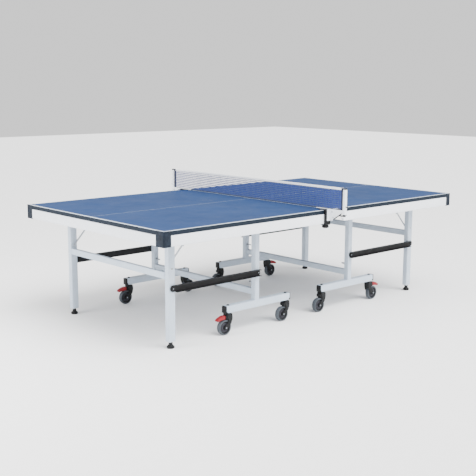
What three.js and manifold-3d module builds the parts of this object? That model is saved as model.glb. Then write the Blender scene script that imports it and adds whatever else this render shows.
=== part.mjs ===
// A folding match table for ping pong: two rolling halves with upright legs, and a net set.
// Millimetres, +Z up, origin on the floor under the middle of the net line.
// +X runs along the table towards half B, and -Y is the front side.
// Each half is drawn reaching towards +X; half A is that same drawing turned half a turn about Z.
import * as THREE from 'three';
import { mergeVertices } from 'three/addons/utils/BufferGeometryUtils.js';
import Module from 'manifold-3d';

const wasm = await Module();
wasm.setup();

// ---- clearances ----
const FIT = 0.3; // between pieces that touch
const RUN = 0.3; // radial, around a pin that turns
const OPEN_RUN = 1; // radial, around the pin where the parallelogram is closed
const PAST = 1; // how far a cutter, or the joined end of a piece, reaches past a face
const MERGE_WITHIN = 1e-4;

// ---- facets of round shapes ----
const PIN_SEGMENTS = 12;
const HEAD_SEGMENTS = 16;
const TURNED_SEGMENTS = 20;
const WHEEL_SEGMENTS = 24;
const SEAT_STEPS = 4;
const CAP_STEPS = 8;
const EYE_STEPS = 12;
const FORK_EYE_STEPS = 6;

// ---- playing surface ----
const TABLE_LENGTH = 2740;
const TABLE_WIDTH = 1525;
const PLAY_HEIGHT = 760;
const BOARD_THICK = 25;
const NET_LINE_GAP = 3.2; // between the two boards, so that either one can tilt

// ---- apron, a rolled C section round three sides of each board ----
const APRON_DEPTH = 65;
const APRON_WALL = 2;
const APRON_FLANGE = 18;
const APRON_NET_GAP = 3; // from the net line to the end of the apron of half A
const APRON_CLEAR_GAP = 140; // and of half B, which leaves the arms of the net set clear

// ---- corner caps ----
const CAP_REACH = 54; // along the side
const CAP_END_REACH = 73; // along the end
const CAP_WALL = 5;
const CAP_RADIUS = 10;
const CAP_DROP = 2; // below the apron

// ---- frame under the board, inverted channels ----
const RAIL_WIDTH = 28;
const RAIL_DEPTH = 33;
const RAIL_WALL = 2;
const RAIL_END_CLEARANCE = 6; // to the flange of the apron
const NET_RAIL_WIDTH = 20;
const NET_RAIL_DEPTH = 39;
const NET_RAIL_SETBACK = 8;
const MID_RAIL_X = 780;
const MID_RAIL_WIDTH = 20;
const MID_RAIL_DEPTH = 15;

// ---- tilt pivots, at the same height on posts and legs ----
const PIVOT_DROP = 27; // below the underside of the board
const PIVOT_PIN_RADIUS = 6;
const RAIL_TO_LEG = 8; // room for the brace between rail and leg

// ---- end legs ----
const LEG_SETBACK = 214; // from the end of the table to the middle of the leg
const FRAME_SETBACK = 222.5; // from the side of the table to the middle of legs and posts
const LEG_LENGTHWISE = 50;
const LEG_CROSSWISE = 40;
const TUBE_WALL = 2;
const LEG_BOTTOM = 45;
const LEG_PLUG = 4;
const LEG_HEAD_RISE = 8; // above its pivot
const LEG_BAR_BOTTOM = 425;
const LEG_BAR_HEIGHT = 42;
const LEG_BAR_LENGTHWISE = 22;

// ---- levelling feet ----
const FOOT_RADIUS = 25;
const FOOT_EDGE = 5;
const FOOT_HEIGHT = 12;
const FOOT_COLLAR = 5; // around the stem
const FOOT_STEM_RADIUS = 5;
const FOOT_STEM_TOP = 85;

// ---- folding braces ----
const BRACE_HEIGHT = 490;
const BRACE_RUN = 203; // along the table, from the leg to the rail
const BRACE_EYE_RADIUS = 9;
const BRACE_WIDTH = 9;
const BRACE_THICK = 4;
const BRACE_PIN_RADIUS = 4;

// ---- trolley ----
const POST_X = 458;
const POST_SIZE = 40;
const POST_HEAD_RISE = 16; // above its pivot
const TROLLEY_BAR_RISE = 32; // above the beams
const TROLLEY_BAR_HEIGHT = 40;
const TROLLEY_BAR_LENGTHWISE = 30;
const BEAM_INNER_X = 157;
const BEAM_OUTER_X = 720;
const BEAM_WIDTH = 40;
const BEAM_HEIGHT = 46;
const BEAM_CHAMFER = 14;
const LATCH_PEG_HEIGHT = 300;
const LATCH_PEG_RADIUS = 5;
const LATCH_PEG_LENGTH = 38;

// ---- link bars, channels that open outwards ----
const LINK_HEIGHT = 371;
const LINK_DEPTH = 42;
const LINK_WEB = 3;
const LINK_FLANGE = 25;
const LINK_STANDOFF = 5; // from leg and post
const LINK_PIN_RADIUS = 5;
const LINK_HEAD_RADIUS = 9;
const LINK_HEAD_THICK = 5;
const LINK_WEB_OVERHANG = 18; // past each pivot
const LINK_FLANGE_STOP = 16; // the flanges end this far before the leg's pivot
const LINK_FLANGE_OVERHANG = 12; // and this far past the post's pivot

// ---- castors ----
const WHEEL_RADIUS = 50;
const TYRE_WIDTH = 30;
const TYRE_SHOULDER = 5;
const RIM_RADIUS = 36;
const WHEEL_DISC_WIDTH = 12;
const DISC_SLOPE = 6; // radial, between hub and disc
const HUB_RADIUS = 14;
const HUB_WIDTH = 33;
const AXLE_RADIUS = 5;
const CASTOR_TRAIL = 32;
const CASTOR_INSET = 24; // from the end of the beam to the swivel
const FORK_WALL = 4;
const FORK_SIDE_CLEARANCE = 1;
const FORK_WHEEL_CLEARANCE = 4;
const FORK_BRIDGE_HEIGHT = 34;
const FORK_HEAD_HEIGHT = 4;
const FORK_HEAD_RADIUS = 19;
const FORK_FRONT = 22; // before the swivel
const FORK_BACK = 30; // behind it
const FORK_EYE_RADIUS = 13;
const FORK_EYE_FROM = 225; // degrees, where the front edge of the arm meets its eye
const FORK_EYE_TO = 390; // and where the back edge does
const FORK_FRONT_DROP = 16.5; // below the bridge
const FORK_BACK_DROP = 11.5;
const STEM_RADIUS = 6;
const STEM_LENGTH = 22;
const LEVER_LENGTH = 65;
const LEVER_WIDTH = 27;
const LEVER_ROOT_HEIGHT = 20;
const LEVER_ROOT_LENGTH = 20;
const LEVER_NOSE_LENGTH = 14;
const LEVER_NOSE_RISE = 7; // above the underside of the root
const LEVER_TIP_DROP = 5; // below it
const LEVER_TIP_BEVEL = 3;
const LEVER_ROOT_GAP = 1; // to the fork, so that the root can turn

// ---- net set ----
const NET_HEIGHT = 152.5;
const NET_THICK = 1.6;
const NET_LIFT = 1; // above the boards
const NET_POST_OVERHANG = 138; // from the side of the table to the outside of the post
const NET_POST_SIZE = 18;
const NET_POST_DROP = 25; // below the boards
const NET_POST_TOP_DROP = 4; // below the top of the net
const ARM_PLATE = 3;
const ARM_DEPTH = 78;
const ARM_HEEL = 12; // straight lower edge beside the clamp
const ARM_TOE_INSET = 75; // from the post to the lowest point of the arm's slope
const ARM_TOE_DEPTH = 65;
const ARM_TIP_DEPTH = 12; // where the arm meets the post
const SHELF_REACH = 97; // over the board
const SHELF_WIDTH = 22;
const SHELF_THICK = 3;
const CLAMP_LENGTH = 50;
const CLAMP_NET_GAP = 4;
const CLAMP_BACK = 12;
const CLAMP_SIDE_GAP = 1;
const CLAMP_JAW = 6;
const CLAMP_TOP_JAW = 3;
const CLAMP_TOP_REACH = 48;
const CLAMP_LOWER_REACH = 28;
const CLAMP_SCREW_ROOM = 3; // between the apron and the lower jaw
const CLAMP_SCREW_RADIUS = 4;
const CLAMP_SCREW_INSET = 8.5; // from the side of the table
const KNOB_RADIUS = 23;
const KNOB_HEIGHT = 20;
const KNOB_EDGE = 4;
const KNOB_SHOULDER = 6;

// ---- worked out ----
const HALF_LENGTH = TABLE_LENGTH / 2;
const HALF_WIDTH = TABLE_WIDTH / 2;
const BOARD_BOTTOM = PLAY_HEIGHT - BOARD_THICK;
const FRAME_TOP = BOARD_BOTTOM - FIT;
const APRON_BOTTOM = BOARD_BOTTOM - APRON_DEPTH;
const PIVOT_Z = BOARD_BOTTOM - PIVOT_DROP;
const LEG_X = HALF_LENGTH - LEG_SETBACK;
const FRAME_Y = HALF_WIDTH - FRAME_SETBACK;
const LEG_INNER_Y = FRAME_Y - LEG_CROSSWISE / 2;
const LEG_OUTER_Y = FRAME_Y + LEG_CROSSWISE / 2;
const POST_INNER_Y = FRAME_Y - POST_SIZE / 2;
const POST_OUTER_Y = FRAME_Y + POST_SIZE / 2;
const RAIL_OUTER_Y = Math.min(LEG_INNER_Y, POST_INNER_Y) - RAIL_TO_LEG;
const RAIL_INNER_Y = RAIL_OUTER_Y - RAIL_WIDTH;
const RAIL_END_X = HALF_LENGTH - CAP_WALL - FIT - APRON_FLANGE - RAIL_END_CLEARANCE;
const CROSS_RAIL_Y = HALF_WIDTH - CAP_WALL - FIT - APRON_FLANGE - RAIL_END_CLEARANCE;
const CASTOR_HEAD_Z = 2 * WHEEL_RADIUS + FORK_WHEEL_CLEARANCE + FORK_BRIDGE_HEIGHT + FORK_HEAD_HEIGHT;
const BEAM_BOTTOM = CASTOR_HEAD_Z + FIT;
const BEAM_TOP = BEAM_BOTTOM + BEAM_HEIGHT;
const POST_BOTTOM = BEAM_TOP + FIT;
const TROLLEY_BAR_BOTTOM = BEAM_TOP + TROLLEY_BAR_RISE;
const LINK_Y = Math.max(LEG_OUTER_Y, POST_OUTER_Y) + LINK_STANDOFF;
const NET_POST_Y = HALF_WIDTH + NET_POST_OVERHANG - NET_POST_SIZE / 2;

// ---- colours and finishes ----
const MATERIALS = {
  board: { color: 0x6b82a6, roughness: 0.55, metalness: 0 },
  apron: { color: 0xdde2ec, roughness: 0.4, metalness: 0.1 },
  tube: { color: 0xc3ced8, roughness: 0.4, metalness: 0.2 },
  zinc: { color: 0x9aa0a6, roughness: 0.35, metalness: 0.8 },
  black_steel: { color: 0x36363a, roughness: 0.5, metalness: 0.2 },
  slate_plastic: { color: 0x3a424d, roughness: 0.5, metalness: 0 },
  black_plastic: { color: 0x26272a, roughness: 0.45, metalness: 0 },
  tyre: { color: 0x5a6066, roughness: 0.8, metalness: 0 },
  red_plastic: { color: 0xa3242e, roughness: 0.4, metalness: 0 },
  net: { color: 0x3f5f9e, roughness: 0.9, metalness: 0 },
};

// ---- solids ----
function toSolid(geometry) {
  const bare = geometry.clone();
  bare.deleteAttribute('normal');
  bare.deleteAttribute('uv');
  const merged = mergeVertices(bare, MERGE_WITHIN);
  const vertProperties = Float32Array.from(merged.attributes.position.array);
  const triVerts = Uint32Array.from(merged.index.array);
  return new wasm.Manifold(new wasm.Mesh({ numProp: 3, vertProperties, triVerts }));
}

function toGeometry(solid) {
  const { vertProperties, triVerts } = solid.getMesh();
  const geometry = new THREE.BufferGeometry();
  geometry.setAttribute('position', new THREE.BufferAttribute(Float32Array.from(vertProperties), 3));
  geometry.setIndex(new THREE.BufferAttribute(Uint32Array.from(triVerts), 1));
  geometry.computeVertexNormals();
  return geometry;
}

function join(...solids) {
  return solids.reduce((whole, next) => whole.add(next));
}

function cut(solid, ...tools) {
  return tools.reduce((whole, tool) => whole.subtract(tool), solid);
}

// A box between two opposite corners, given in any order.
function block([x0, y0, z0], [x1, y1, z1]) {
  const geometry = new THREE.BoxGeometry(Math.abs(x1 - x0), Math.abs(y1 - y0), Math.abs(z1 - z0));
  geometry.translate((x0 + x1) / 2, (y0 + y1) / 2, (z0 + z1) / 2);
  return toSolid(geometry);
}

function extrude(points, depth) {
  const shape = new THREE.Shape(points.map(([u, v]) => new THREE.Vector2(u, v)));
  return new THREE.ExtrudeGeometry(shape, { depth, bevelEnabled: false });
}

// An outline in plan, raised from z0 to z1.
function slab(points, z0, z1) {
  return toSolid(extrude(points, z1 - z0).translate(0, 0, z0));
}

// An outline seen from the side, as x and z, with its thickness from y0 to y1.
function sidePlate(points, y0, y1) {
  const geometry = extrude(points, Math.abs(y1 - y0));
  geometry.rotateX(Math.PI / 2);
  geometry.translate(0, Math.max(y0, y1), 0);
  return toSolid(geometry);
}

// An outline seen along the table, as y and z, with its thickness from x0 to x1.
function endPlate(points, x0, x1) {
  const geometry = extrude(points, Math.abs(x1 - x0));
  geometry.rotateX(Math.PI / 2);
  geometry.rotateZ(Math.PI / 2);
  geometry.translate(Math.min(x0, x1), 0, 0);
  return toSolid(geometry);
}

function pinAcross(radius, x, z, y0, y1) {
  const geometry = new THREE.CylinderGeometry(radius, radius, Math.abs(y1 - y0), PIN_SEGMENTS);
  geometry.translate(x, (y0 + y1) / 2, z);
  return toSolid(geometry);
}

function pinUpright(radius, x, y, z0, z1, segments = PIN_SEGMENTS) {
  const geometry = new THREE.CylinderGeometry(radius, radius, z1 - z0, segments);
  geometry.rotateX(Math.PI / 2);
  geometry.translate(x, y, (z0 + z1) / 2);
  return toSolid(geometry);
}

// A profile of radius and height, turned about the second axis.
function turned(profile, segments = TURNED_SEGMENTS) {
  return new THREE.LatheGeometry(profile.map(([r, z]) => new THREE.Vector2(r, z)), segments);
}

function arc(cx, cy, radius, startDegrees, endDegrees, steps) {
  return Array.from({ length: steps + 1 }, (_, i) => {
    const angle = THREE.MathUtils.degToRad(startDegrees + ((endDegrees - startDegrees) * i) / steps);
    return [cx + radius * Math.cos(angle), cy + radius * Math.sin(angle)];
  });
}

// ---- tops ----
// Plan of one half, drawn in from its outer faces, with a step at each corner where a cap sits.
function halfOutline(inset, netEdge) {
  const side = HALF_WIDTH - inset;
  const end = HALF_LENGTH - inset;
  const seat = CAP_WALL + FIT;
  const reach = CAP_REACH + FIT;
  const endReach = CAP_END_REACH + FIT;
  const radius = Math.max(CAP_RADIUS - seat - inset, 1);
  const corner = [
    [end - reach, -side],
    [end - reach, -side + seat],
    ...arc(end - seat - radius, -side + seat + radius, radius, -90, 0, SEAT_STEPS),
    [end - seat, -side + endReach],
    [end, -side + endReach],
  ];
  const farCorner = corner.map(([x, y]) => [x, -y]).reverse();
  return [[netEdge, -side], ...corner, ...farCorner, [netEdge, side]];
}

function board() {
  return slab(halfOutline(0, NET_LINE_GAP / 2), BOARD_BOTTOM, PLAY_HEIGHT);
}

function apron(netGap) {
  const pastNetEnd = netGap - APRON_FLANGE;
  const outside = slab(halfOutline(0, netGap), APRON_BOTTOM, FRAME_TOP);
  const webBottom = APRON_BOTTOM + APRON_WALL;
  const webTop = FRAME_TOP - APRON_WALL;
  const channel = slab(halfOutline(APRON_WALL, pastNetEnd), webBottom, webTop);
  const middle = slab(halfOutline(APRON_FLANGE, pastNetEnd), APRON_BOTTOM - FIT, FRAME_TOP + FIT);
  return cut(outside, channel, middle);
}

function cornerCap(side) {
  const x = HALF_LENGTH;
  const y = HALF_WIDTH;
  const inner = CAP_RADIUS - CAP_WALL;
  const outline = [
    [x - CAP_REACH, y],
    ...arc(x - CAP_RADIUS, y - CAP_RADIUS, CAP_RADIUS, 90, 0, CAP_STEPS),
    [x, y - CAP_END_REACH],
    [x - CAP_WALL, y - CAP_END_REACH],
    ...arc(x - CAP_RADIUS, y - CAP_RADIUS, inner, 0, 90, CAP_STEPS),
    [x - CAP_REACH, y - CAP_WALL],
  ];
  return slab(outline.map(([u, v]) => [u, side * v]), APRON_BOTTOM - CAP_DROP, PLAY_HEIGHT);
}

// A channel that opens downwards: the outer box, and the space under its web.
function channelDown(x0, y0, x1, y1, depth) {
  const corners = { outer: block([x0, y0, FRAME_TOP - depth], [x1, y1, FRAME_TOP]) };
  corners.inner = block(
    [x0 + RAIL_WALL, y0 + RAIL_WALL, FRAME_TOP - depth - RAIL_WALL],
    [x1 - RAIL_WALL, y1 - RAIL_WALL, FRAME_TOP - RAIL_WALL],
  );
  return corners;
}

function underFrame() {
  const rails = [-1, 1].map((side) => {
    const near = Math.min(side * RAIL_INNER_Y, side * RAIL_OUTER_Y);
    return channelDown(NET_RAIL_SETBACK, near, RAIL_END_X, near + RAIL_WIDTH, RAIL_DEPTH);
  });
  const netEnd = NET_RAIL_SETBACK + NET_RAIL_WIDTH;
  const netRail = channelDown(NET_RAIL_SETBACK, -CROSS_RAIL_Y, netEnd, CROSS_RAIL_Y, NET_RAIL_DEPTH);
  const midFrom = MID_RAIL_X - MID_RAIL_WIDTH / 2;
  const midTo = MID_RAIL_X + MID_RAIL_WIDTH / 2;
  const midRail = channelDown(midFrom, -CROSS_RAIL_Y, midTo, CROSS_RAIL_Y, MID_RAIL_DEPTH);
  const channels = [...rails, netRail, midRail];
  const pivotHoles = [POST_X, LEG_X].map((x) => (
    pinAcross(PIVOT_PIN_RADIUS + RUN, x, PIVOT_Z, -HALF_WIDTH, HALF_WIDTH)
  ));
  return cut(join(...channels.map((c) => c.outer)), ...channels.map((c) => c.inner), ...pivotHoles);
}

// ---- pins that legs and posts carry ----
// The tilt pin passes inwards through the rail.
function tiltPin(x, innerY, side) {
  const tip = RAIL_INNER_Y - RAIL_WALL;
  return pinAcross(PIVOT_PIN_RADIUS, x, PIVOT_Z, side * (innerY + TUBE_WALL / 2), side * tip);
}

// The link pin passes outwards through the web of the link bar and ends in a flat head.
function linkPin(x, outerY, side) {
  const headFrom = LINK_Y + LINK_WEB + FIT;
  const headTo = headFrom + LINK_HEAD_THICK;
  const root = outerY - TUBE_WALL / 2;
  const shank = pinAcross(LINK_PIN_RADIUS, x, LINK_HEIGHT, side * root, side * (headFrom + PAST));
  const head = pinAcross(LINK_HEAD_RADIUS, x, LINK_HEIGHT, side * headFrom, side * headTo);
  return join(shank, head);
}

// ---- legs ----
function legFrame() {
  const x0 = LEG_X - LEG_LENGTHWISE / 2;
  const x1 = LEG_X + LEG_LENGTHWISE / 2;
  const top = PIVOT_Z + LEG_HEAD_RISE;
  const barTop = LEG_BAR_BOTTOM + LEG_BAR_HEIGHT;
  const barX = x1 - LEG_BAR_LENGTHWISE;
  const outer = [block([barX, -FRAME_Y, LEG_BAR_BOTTOM], [x1, FRAME_Y, barTop])];
  const inner = [block(
    [barX + TUBE_WALL, -FRAME_Y, LEG_BAR_BOTTOM + TUBE_WALL],
    [x1 - TUBE_WALL, FRAME_Y, barTop - TUBE_WALL],
  )];
  const pins = [];
  for (const side of [-1, 1]) {
    outer.push(block([x0, side * LEG_INNER_Y, LEG_BOTTOM], [x1, side * LEG_OUTER_Y, top]));
    inner.push(block(
      [x0 + TUBE_WALL, side * (LEG_INNER_Y + TUBE_WALL), LEG_BOTTOM + LEG_PLUG],
      [x1 - TUBE_WALL, side * (LEG_OUTER_Y - TUBE_WALL), top + FIT],
    ));
    const stemHole = [LEG_BOTTOM - PAST, LEG_BOTTOM + LEG_PLUG + PAST];
    inner.push(pinUpright(FOOT_STEM_RADIUS + RUN, LEG_X, side * FRAME_Y, ...stemHole));
    const braceRoot = side * (LEG_INNER_Y + TUBE_WALL / 2);
    const braceTip = side * (LEG_INNER_Y - (RAIL_TO_LEG + BRACE_THICK) / 2 - FIT);
    pins.push(tiltPin(LEG_X, LEG_INNER_Y, side));
    pins.push(linkPin(LEG_X, LEG_OUTER_Y, side));
    pins.push(pinAcross(BRACE_PIN_RADIUS, LEG_X, BRACE_HEIGHT, braceRoot, braceTip));
  }
  return join(cut(join(...outer), ...inner), ...pins);
}

// Turned profile, as radius and height, from the floor up.
function foot() {
  const profile = [
    [0, 0],
    [FOOT_RADIUS, 0],
    [FOOT_RADIUS, FOOT_EDGE],
    [FOOT_STEM_RADIUS + FOOT_COLLAR, FOOT_HEIGHT],
    [FOOT_STEM_RADIUS, FOOT_HEIGHT],
    [FOOT_STEM_RADIUS, FOOT_STEM_TOP],
    [0, FOOT_STEM_TOP],
  ];
  const geometry = turned(profile);
  geometry.rotateX(Math.PI / 2);
  return toSolid(geometry);
}

// A flat bar with a round eye at each end, from the leg up to the rail.
function brace(side) {
  const rise = PIVOT_Z - BRACE_HEIGHT;
  const length = Math.hypot(BRACE_RUN, rise);
  const lean = THREE.MathUtils.radToDeg(Math.asin(BRACE_WIDTH / 2 / BRACE_EYE_RADIUS));
  const outline = [
    ...arc(0, 0, BRACE_EYE_RADIUS, lean, 360 - lean, EYE_STEPS),
    ...arc(length, 0, BRACE_EYE_RADIUS, 180 + lean, 540 - lean, EYE_STEPS),
  ];
  const climb = Math.atan2(rise, -BRACE_RUN);
  const standing = outline.map(([u, v]) => [
    LEG_X + u * Math.cos(climb) - v * Math.sin(climb),
    BRACE_HEIGHT + u * Math.sin(climb) + v * Math.cos(climb),
  ]);
  const middle = LEG_INNER_Y - RAIL_TO_LEG / 2;
  const y0 = side * (middle - BRACE_THICK / 2);
  const y1 = side * (middle + BRACE_THICK / 2);
  const hole = pinAcross(BRACE_PIN_RADIUS + RUN, LEG_X, BRACE_HEIGHT, y0 - side * PAST, y1 + side * PAST);
  return cut(sidePlate(standing, y0, y1), hole);
}

function linkBar(side) {
  const z0 = LINK_HEIGHT - LINK_DEPTH / 2;
  const z1 = LINK_HEIGHT + LINK_DEPTH / 2;
  const webInner = LINK_Y;
  const webOuter = LINK_Y + LINK_WEB;
  const web = block(
    [POST_X - LINK_WEB_OVERHANG, side * webInner, z0],
    [LEG_X + LINK_WEB_OVERHANG, side * webOuter, z1],
  );
  const flangeFrom = POST_X - LINK_FLANGE_OVERHANG;
  const flangeTo = LEG_X - LINK_FLANGE_STOP;
  const flangeEdge = LINK_Y + LINK_FLANGE;
  const flanges = [[z0, z0 + LINK_WEB], [z1 - LINK_WEB, z1]].map(([low, high]) => (
    block([flangeFrom, side * webInner, low], [flangeTo, side * flangeEdge, high])
  ));
  const reach = [side * (webInner - PAST), side * (webOuter + PAST)];
  const hole = (x, clearance) => pinAcross(LINK_PIN_RADIUS + clearance, x, LINK_HEIGHT, ...reach);
  return cut(join(web, ...flanges), hole(POST_X, RUN), hole(LEG_X, OPEN_RUN));
}

// ---- trolley ----
function trolleyArch() {
  const x0 = POST_X - POST_SIZE / 2;
  const x1 = POST_X + POST_SIZE / 2;
  const top = PIVOT_Z + POST_HEAD_RISE;
  const barX0 = POST_X - TROLLEY_BAR_LENGTHWISE / 2;
  const barX1 = POST_X + TROLLEY_BAR_LENGTHWISE / 2;
  const barTop = TROLLEY_BAR_BOTTOM + TROLLEY_BAR_HEIGHT;
  const outer = [block([barX0, -FRAME_Y, TROLLEY_BAR_BOTTOM], [barX1, FRAME_Y, barTop])];
  const inner = [block(
    [barX0 + TUBE_WALL, -FRAME_Y, TROLLEY_BAR_BOTTOM + TUBE_WALL],
    [barX1 - TUBE_WALL, FRAME_Y, barTop - TUBE_WALL],
  )];
  const pins = [];
  for (const side of [-1, 1]) {
    outer.push(block([x0, side * POST_INNER_Y, POST_BOTTOM], [x1, side * POST_OUTER_Y, top]));
    inner.push(block(
      [x0 + TUBE_WALL, side * (POST_INNER_Y + TUBE_WALL), POST_BOTTOM + TUBE_WALL],
      [x1 - TUBE_WALL, side * (POST_OUTER_Y - TUBE_WALL), top + FIT],
    ));
    const pegRoot = side * (POST_INNER_Y + TUBE_WALL / 2);
    const pegTip = side * (POST_INNER_Y - LATCH_PEG_LENGTH);
    pins.push(tiltPin(POST_X, POST_INNER_Y, side));
    pins.push(linkPin(POST_X, POST_OUTER_Y, side));
    pins.push(pinAcross(LATCH_PEG_RADIUS, POST_X, LATCH_PEG_HEIGHT, pegRoot, pegTip));
  }
  return join(cut(join(...outer), ...inner), ...pins);
}

// A tube along the table with its lower end corners taken off, open at both ends.
function wheelBeam(side) {
  const outline = [
    [BEAM_INNER_X + BEAM_CHAMFER, BEAM_BOTTOM],
    [BEAM_OUTER_X - BEAM_CHAMFER, BEAM_BOTTOM],
    [BEAM_OUTER_X, BEAM_BOTTOM + BEAM_CHAMFER],
    [BEAM_OUTER_X, BEAM_TOP],
    [BEAM_INNER_X, BEAM_TOP],
    [BEAM_INNER_X, BEAM_BOTTOM + BEAM_CHAMFER],
  ];
  const nearY = FRAME_Y - BEAM_WIDTH / 2;
  const farY = FRAME_Y + BEAM_WIDTH / 2;
  const outer = sidePlate(outline, side * nearY, side * farY);
  const bore = block(
    [BEAM_INNER_X - PAST, side * (nearY + TUBE_WALL), BEAM_BOTTOM + TUBE_WALL],
    [BEAM_OUTER_X + PAST, side * (farY - TUBE_WALL), BEAM_TOP - TUBE_WALL],
  );
  const stemHoles = [BEAM_INNER_X + CASTOR_INSET, BEAM_OUTER_X - CASTOR_INSET].map((x) => (
    pinUpright(STEM_RADIUS + RUN, x, side * FRAME_Y, BEAM_BOTTOM - PAST, BEAM_BOTTOM + TUBE_WALL + PAST)
  ));
  return cut(outer, bore, ...stemHoles);
}

// ---- castors, drawn with the swivel axis at x = 0 and the wheel trailing towards +x ----
function castorFork() {
  const inner = HUB_WIDTH / 2 + FORK_SIDE_CLEARANCE;
  const outer = inner + FORK_WALL;
  const bridgeBottom = 2 * WHEEL_RADIUS + FORK_WHEEL_CLEARANCE;
  const bridgeTop = bridgeBottom + FORK_BRIDGE_HEIGHT;
  const arm = [
    [-FORK_FRONT, bridgeTop],
    [-FORK_FRONT, bridgeBottom - FORK_FRONT_DROP],
    ...arc(CASTOR_TRAIL, WHEEL_RADIUS, FORK_EYE_RADIUS, FORK_EYE_FROM, FORK_EYE_TO, FORK_EYE_STEPS),
    [FORK_BACK - STEM_RADIUS, bridgeBottom - FORK_BACK_DROP],
    [FORK_BACK, bridgeBottom],
    [FORK_BACK, bridgeTop],
  ];
  const arms = [-1, 1].map((side) => sidePlate(arm, side * inner, side * outer));
  const bridge = block([-FORK_FRONT, -outer, bridgeBottom], [FORK_BACK, outer, bridgeTop]);
  const head = pinUpright(FORK_HEAD_RADIUS, 0, 0, bridgeTop - FIT, CASTOR_HEAD_Z, HEAD_SEGMENTS);
  const stem = pinUpright(STEM_RADIUS, 0, 0, CASTOR_HEAD_Z - FIT, CASTOR_HEAD_Z + STEM_LENGTH);
  const axle = pinAcross(AXLE_RADIUS, CASTOR_TRAIL, WHEEL_RADIUS, -inner - PAST, inner + PAST);
  return join(...arms, bridge, head, stem, axle);
}

// Half of the turned section, as radius and distance from the middle; the other half is its mirror.
function castorWheel() {
  const half = [
    [AXLE_RADIUS + RUN, HUB_WIDTH / 2],
    [HUB_RADIUS, HUB_WIDTH / 2],
    [HUB_RADIUS + DISC_SLOPE, WHEEL_DISC_WIDTH / 2],
    [RIM_RADIUS, TYRE_WIDTH / 2],
    [WHEEL_RADIUS - TYRE_SHOULDER, TYRE_WIDTH / 2],
    [WHEEL_RADIUS, TYRE_WIDTH / 2 - TYRE_SHOULDER],
  ];
  const mirrored = half.map(([r, y]) => [r, -y]).reverse();
  const loop = [...half, ...mirrored, half[0]].reverse();
  return toSolid(turned(loop, WHEEL_SEGMENTS));
}

function brakeLever() {
  const from = FORK_BACK + LEVER_ROOT_GAP;
  const tip = from + LEVER_LENGTH;
  const low = 2 * WHEEL_RADIUS + FORK_WHEEL_CLEARANCE;
  const outline = [
    [from, low],
    [tip - LEVER_TIP_BEVEL, low - LEVER_TIP_DROP],
    [tip, low - LEVER_TIP_DROP + LEVER_TIP_BEVEL],
    [tip - LEVER_NOSE_LENGTH, low + LEVER_NOSE_RISE],
    [from + LEVER_ROOT_LENGTH, low + LEVER_ROOT_HEIGHT],
    [from, low + LEVER_ROOT_HEIGHT],
  ];
  return sidePlate(outline, -LEVER_WIDTH / 2, LEVER_WIDTH / 2);
}

// ---- net set ----
function net() {
  const end = NET_POST_Y - NET_POST_SIZE / 2 - FIT;
  return block(
    [-NET_THICK / 2, -end, PLAY_HEIGHT + NET_LIFT],
    [NET_THICK / 2, end, PLAY_HEIGHT + NET_HEIGHT],
  );
}

// The shelf lies on the clamp, the arm plate reaches out from it, and the post stands at its end.
function netPost(side) {
  const shelfBottom = PLAY_HEIGHT + 2 * FIT + CLAMP_TOP_JAW;
  const shelfTop = shelfBottom + SHELF_THICK;
  const backOuter = HALF_WIDTH + CLAMP_SIDE_GAP + CLAMP_BACK;
  const armRoot = backOuter + FIT;
  const shelf = block(
    [-CLAMP_NET_GAP - SHELF_WIDTH, side * (HALF_WIDTH - SHELF_REACH), shelfBottom],
    [-CLAMP_NET_GAP, side * (armRoot + SHELF_THICK), shelfTop],
  );
  const postInner = NET_POST_Y - NET_POST_SIZE / 2;
  const postBottom = PLAY_HEIGHT - NET_POST_DROP;
  const arm = [
    [armRoot, shelfTop],
    [postInner + PAST, shelfTop],
    [postInner + PAST, shelfTop - ARM_TIP_DEPTH],
    [postInner - ARM_TOE_INSET, shelfTop - ARM_TOE_DEPTH],
    [armRoot + ARM_HEEL, shelfTop - ARM_DEPTH],
    [armRoot, shelfTop - ARM_DEPTH],
  ];
  const plate = endPlate(
    arm.map(([y, z]) => [side * y, z]),
    -CLAMP_NET_GAP - ARM_PLATE,
    -CLAMP_NET_GAP,
  );
  const postTop = PLAY_HEIGHT + NET_HEIGHT - NET_POST_TOP_DROP;
  const post = block(
    [-NET_POST_SIZE / 2, side * postInner, postBottom],
    [NET_POST_SIZE / 2, side * (postInner + NET_POST_SIZE), postTop],
  );
  return join(shelf, plate, post);
}

function netClamp(side) {
  const inner = HALF_WIDTH + CLAMP_SIDE_GAP;
  const outer = inner + CLAMP_BACK;
  const topJaw = PLAY_HEIGHT + FIT;
  const jawTop = APRON_BOTTOM - CLAMP_SCREW_ROOM;
  const outline = [
    [HALF_WIDTH - CLAMP_TOP_REACH, topJaw],
    [inner, topJaw],
    [inner, jawTop],
    [HALF_WIDTH - CLAMP_LOWER_REACH, jawTop],
    [HALF_WIDTH - CLAMP_LOWER_REACH, jawTop - CLAMP_JAW],
    [outer, jawTop - CLAMP_JAW],
    [outer, topJaw + CLAMP_TOP_JAW],
    [HALF_WIDTH - CLAMP_TOP_REACH, topJaw + CLAMP_TOP_JAW],
  ];
  const body = endPlate(
    outline.map(([y, z]) => [side * y, z]),
    -CLAMP_NET_GAP - CLAMP_LENGTH,
    -CLAMP_NET_GAP,
  );
  const hole = pinUpright(
    CLAMP_SCREW_RADIUS + RUN,
    -CLAMP_NET_GAP - CLAMP_LENGTH / 2,
    side * (HALF_WIDTH - CLAMP_SCREW_INSET),
    jawTop - CLAMP_JAW - PAST,
    jawTop + PAST,
  );
  return cut(body, hole);
}

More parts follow.
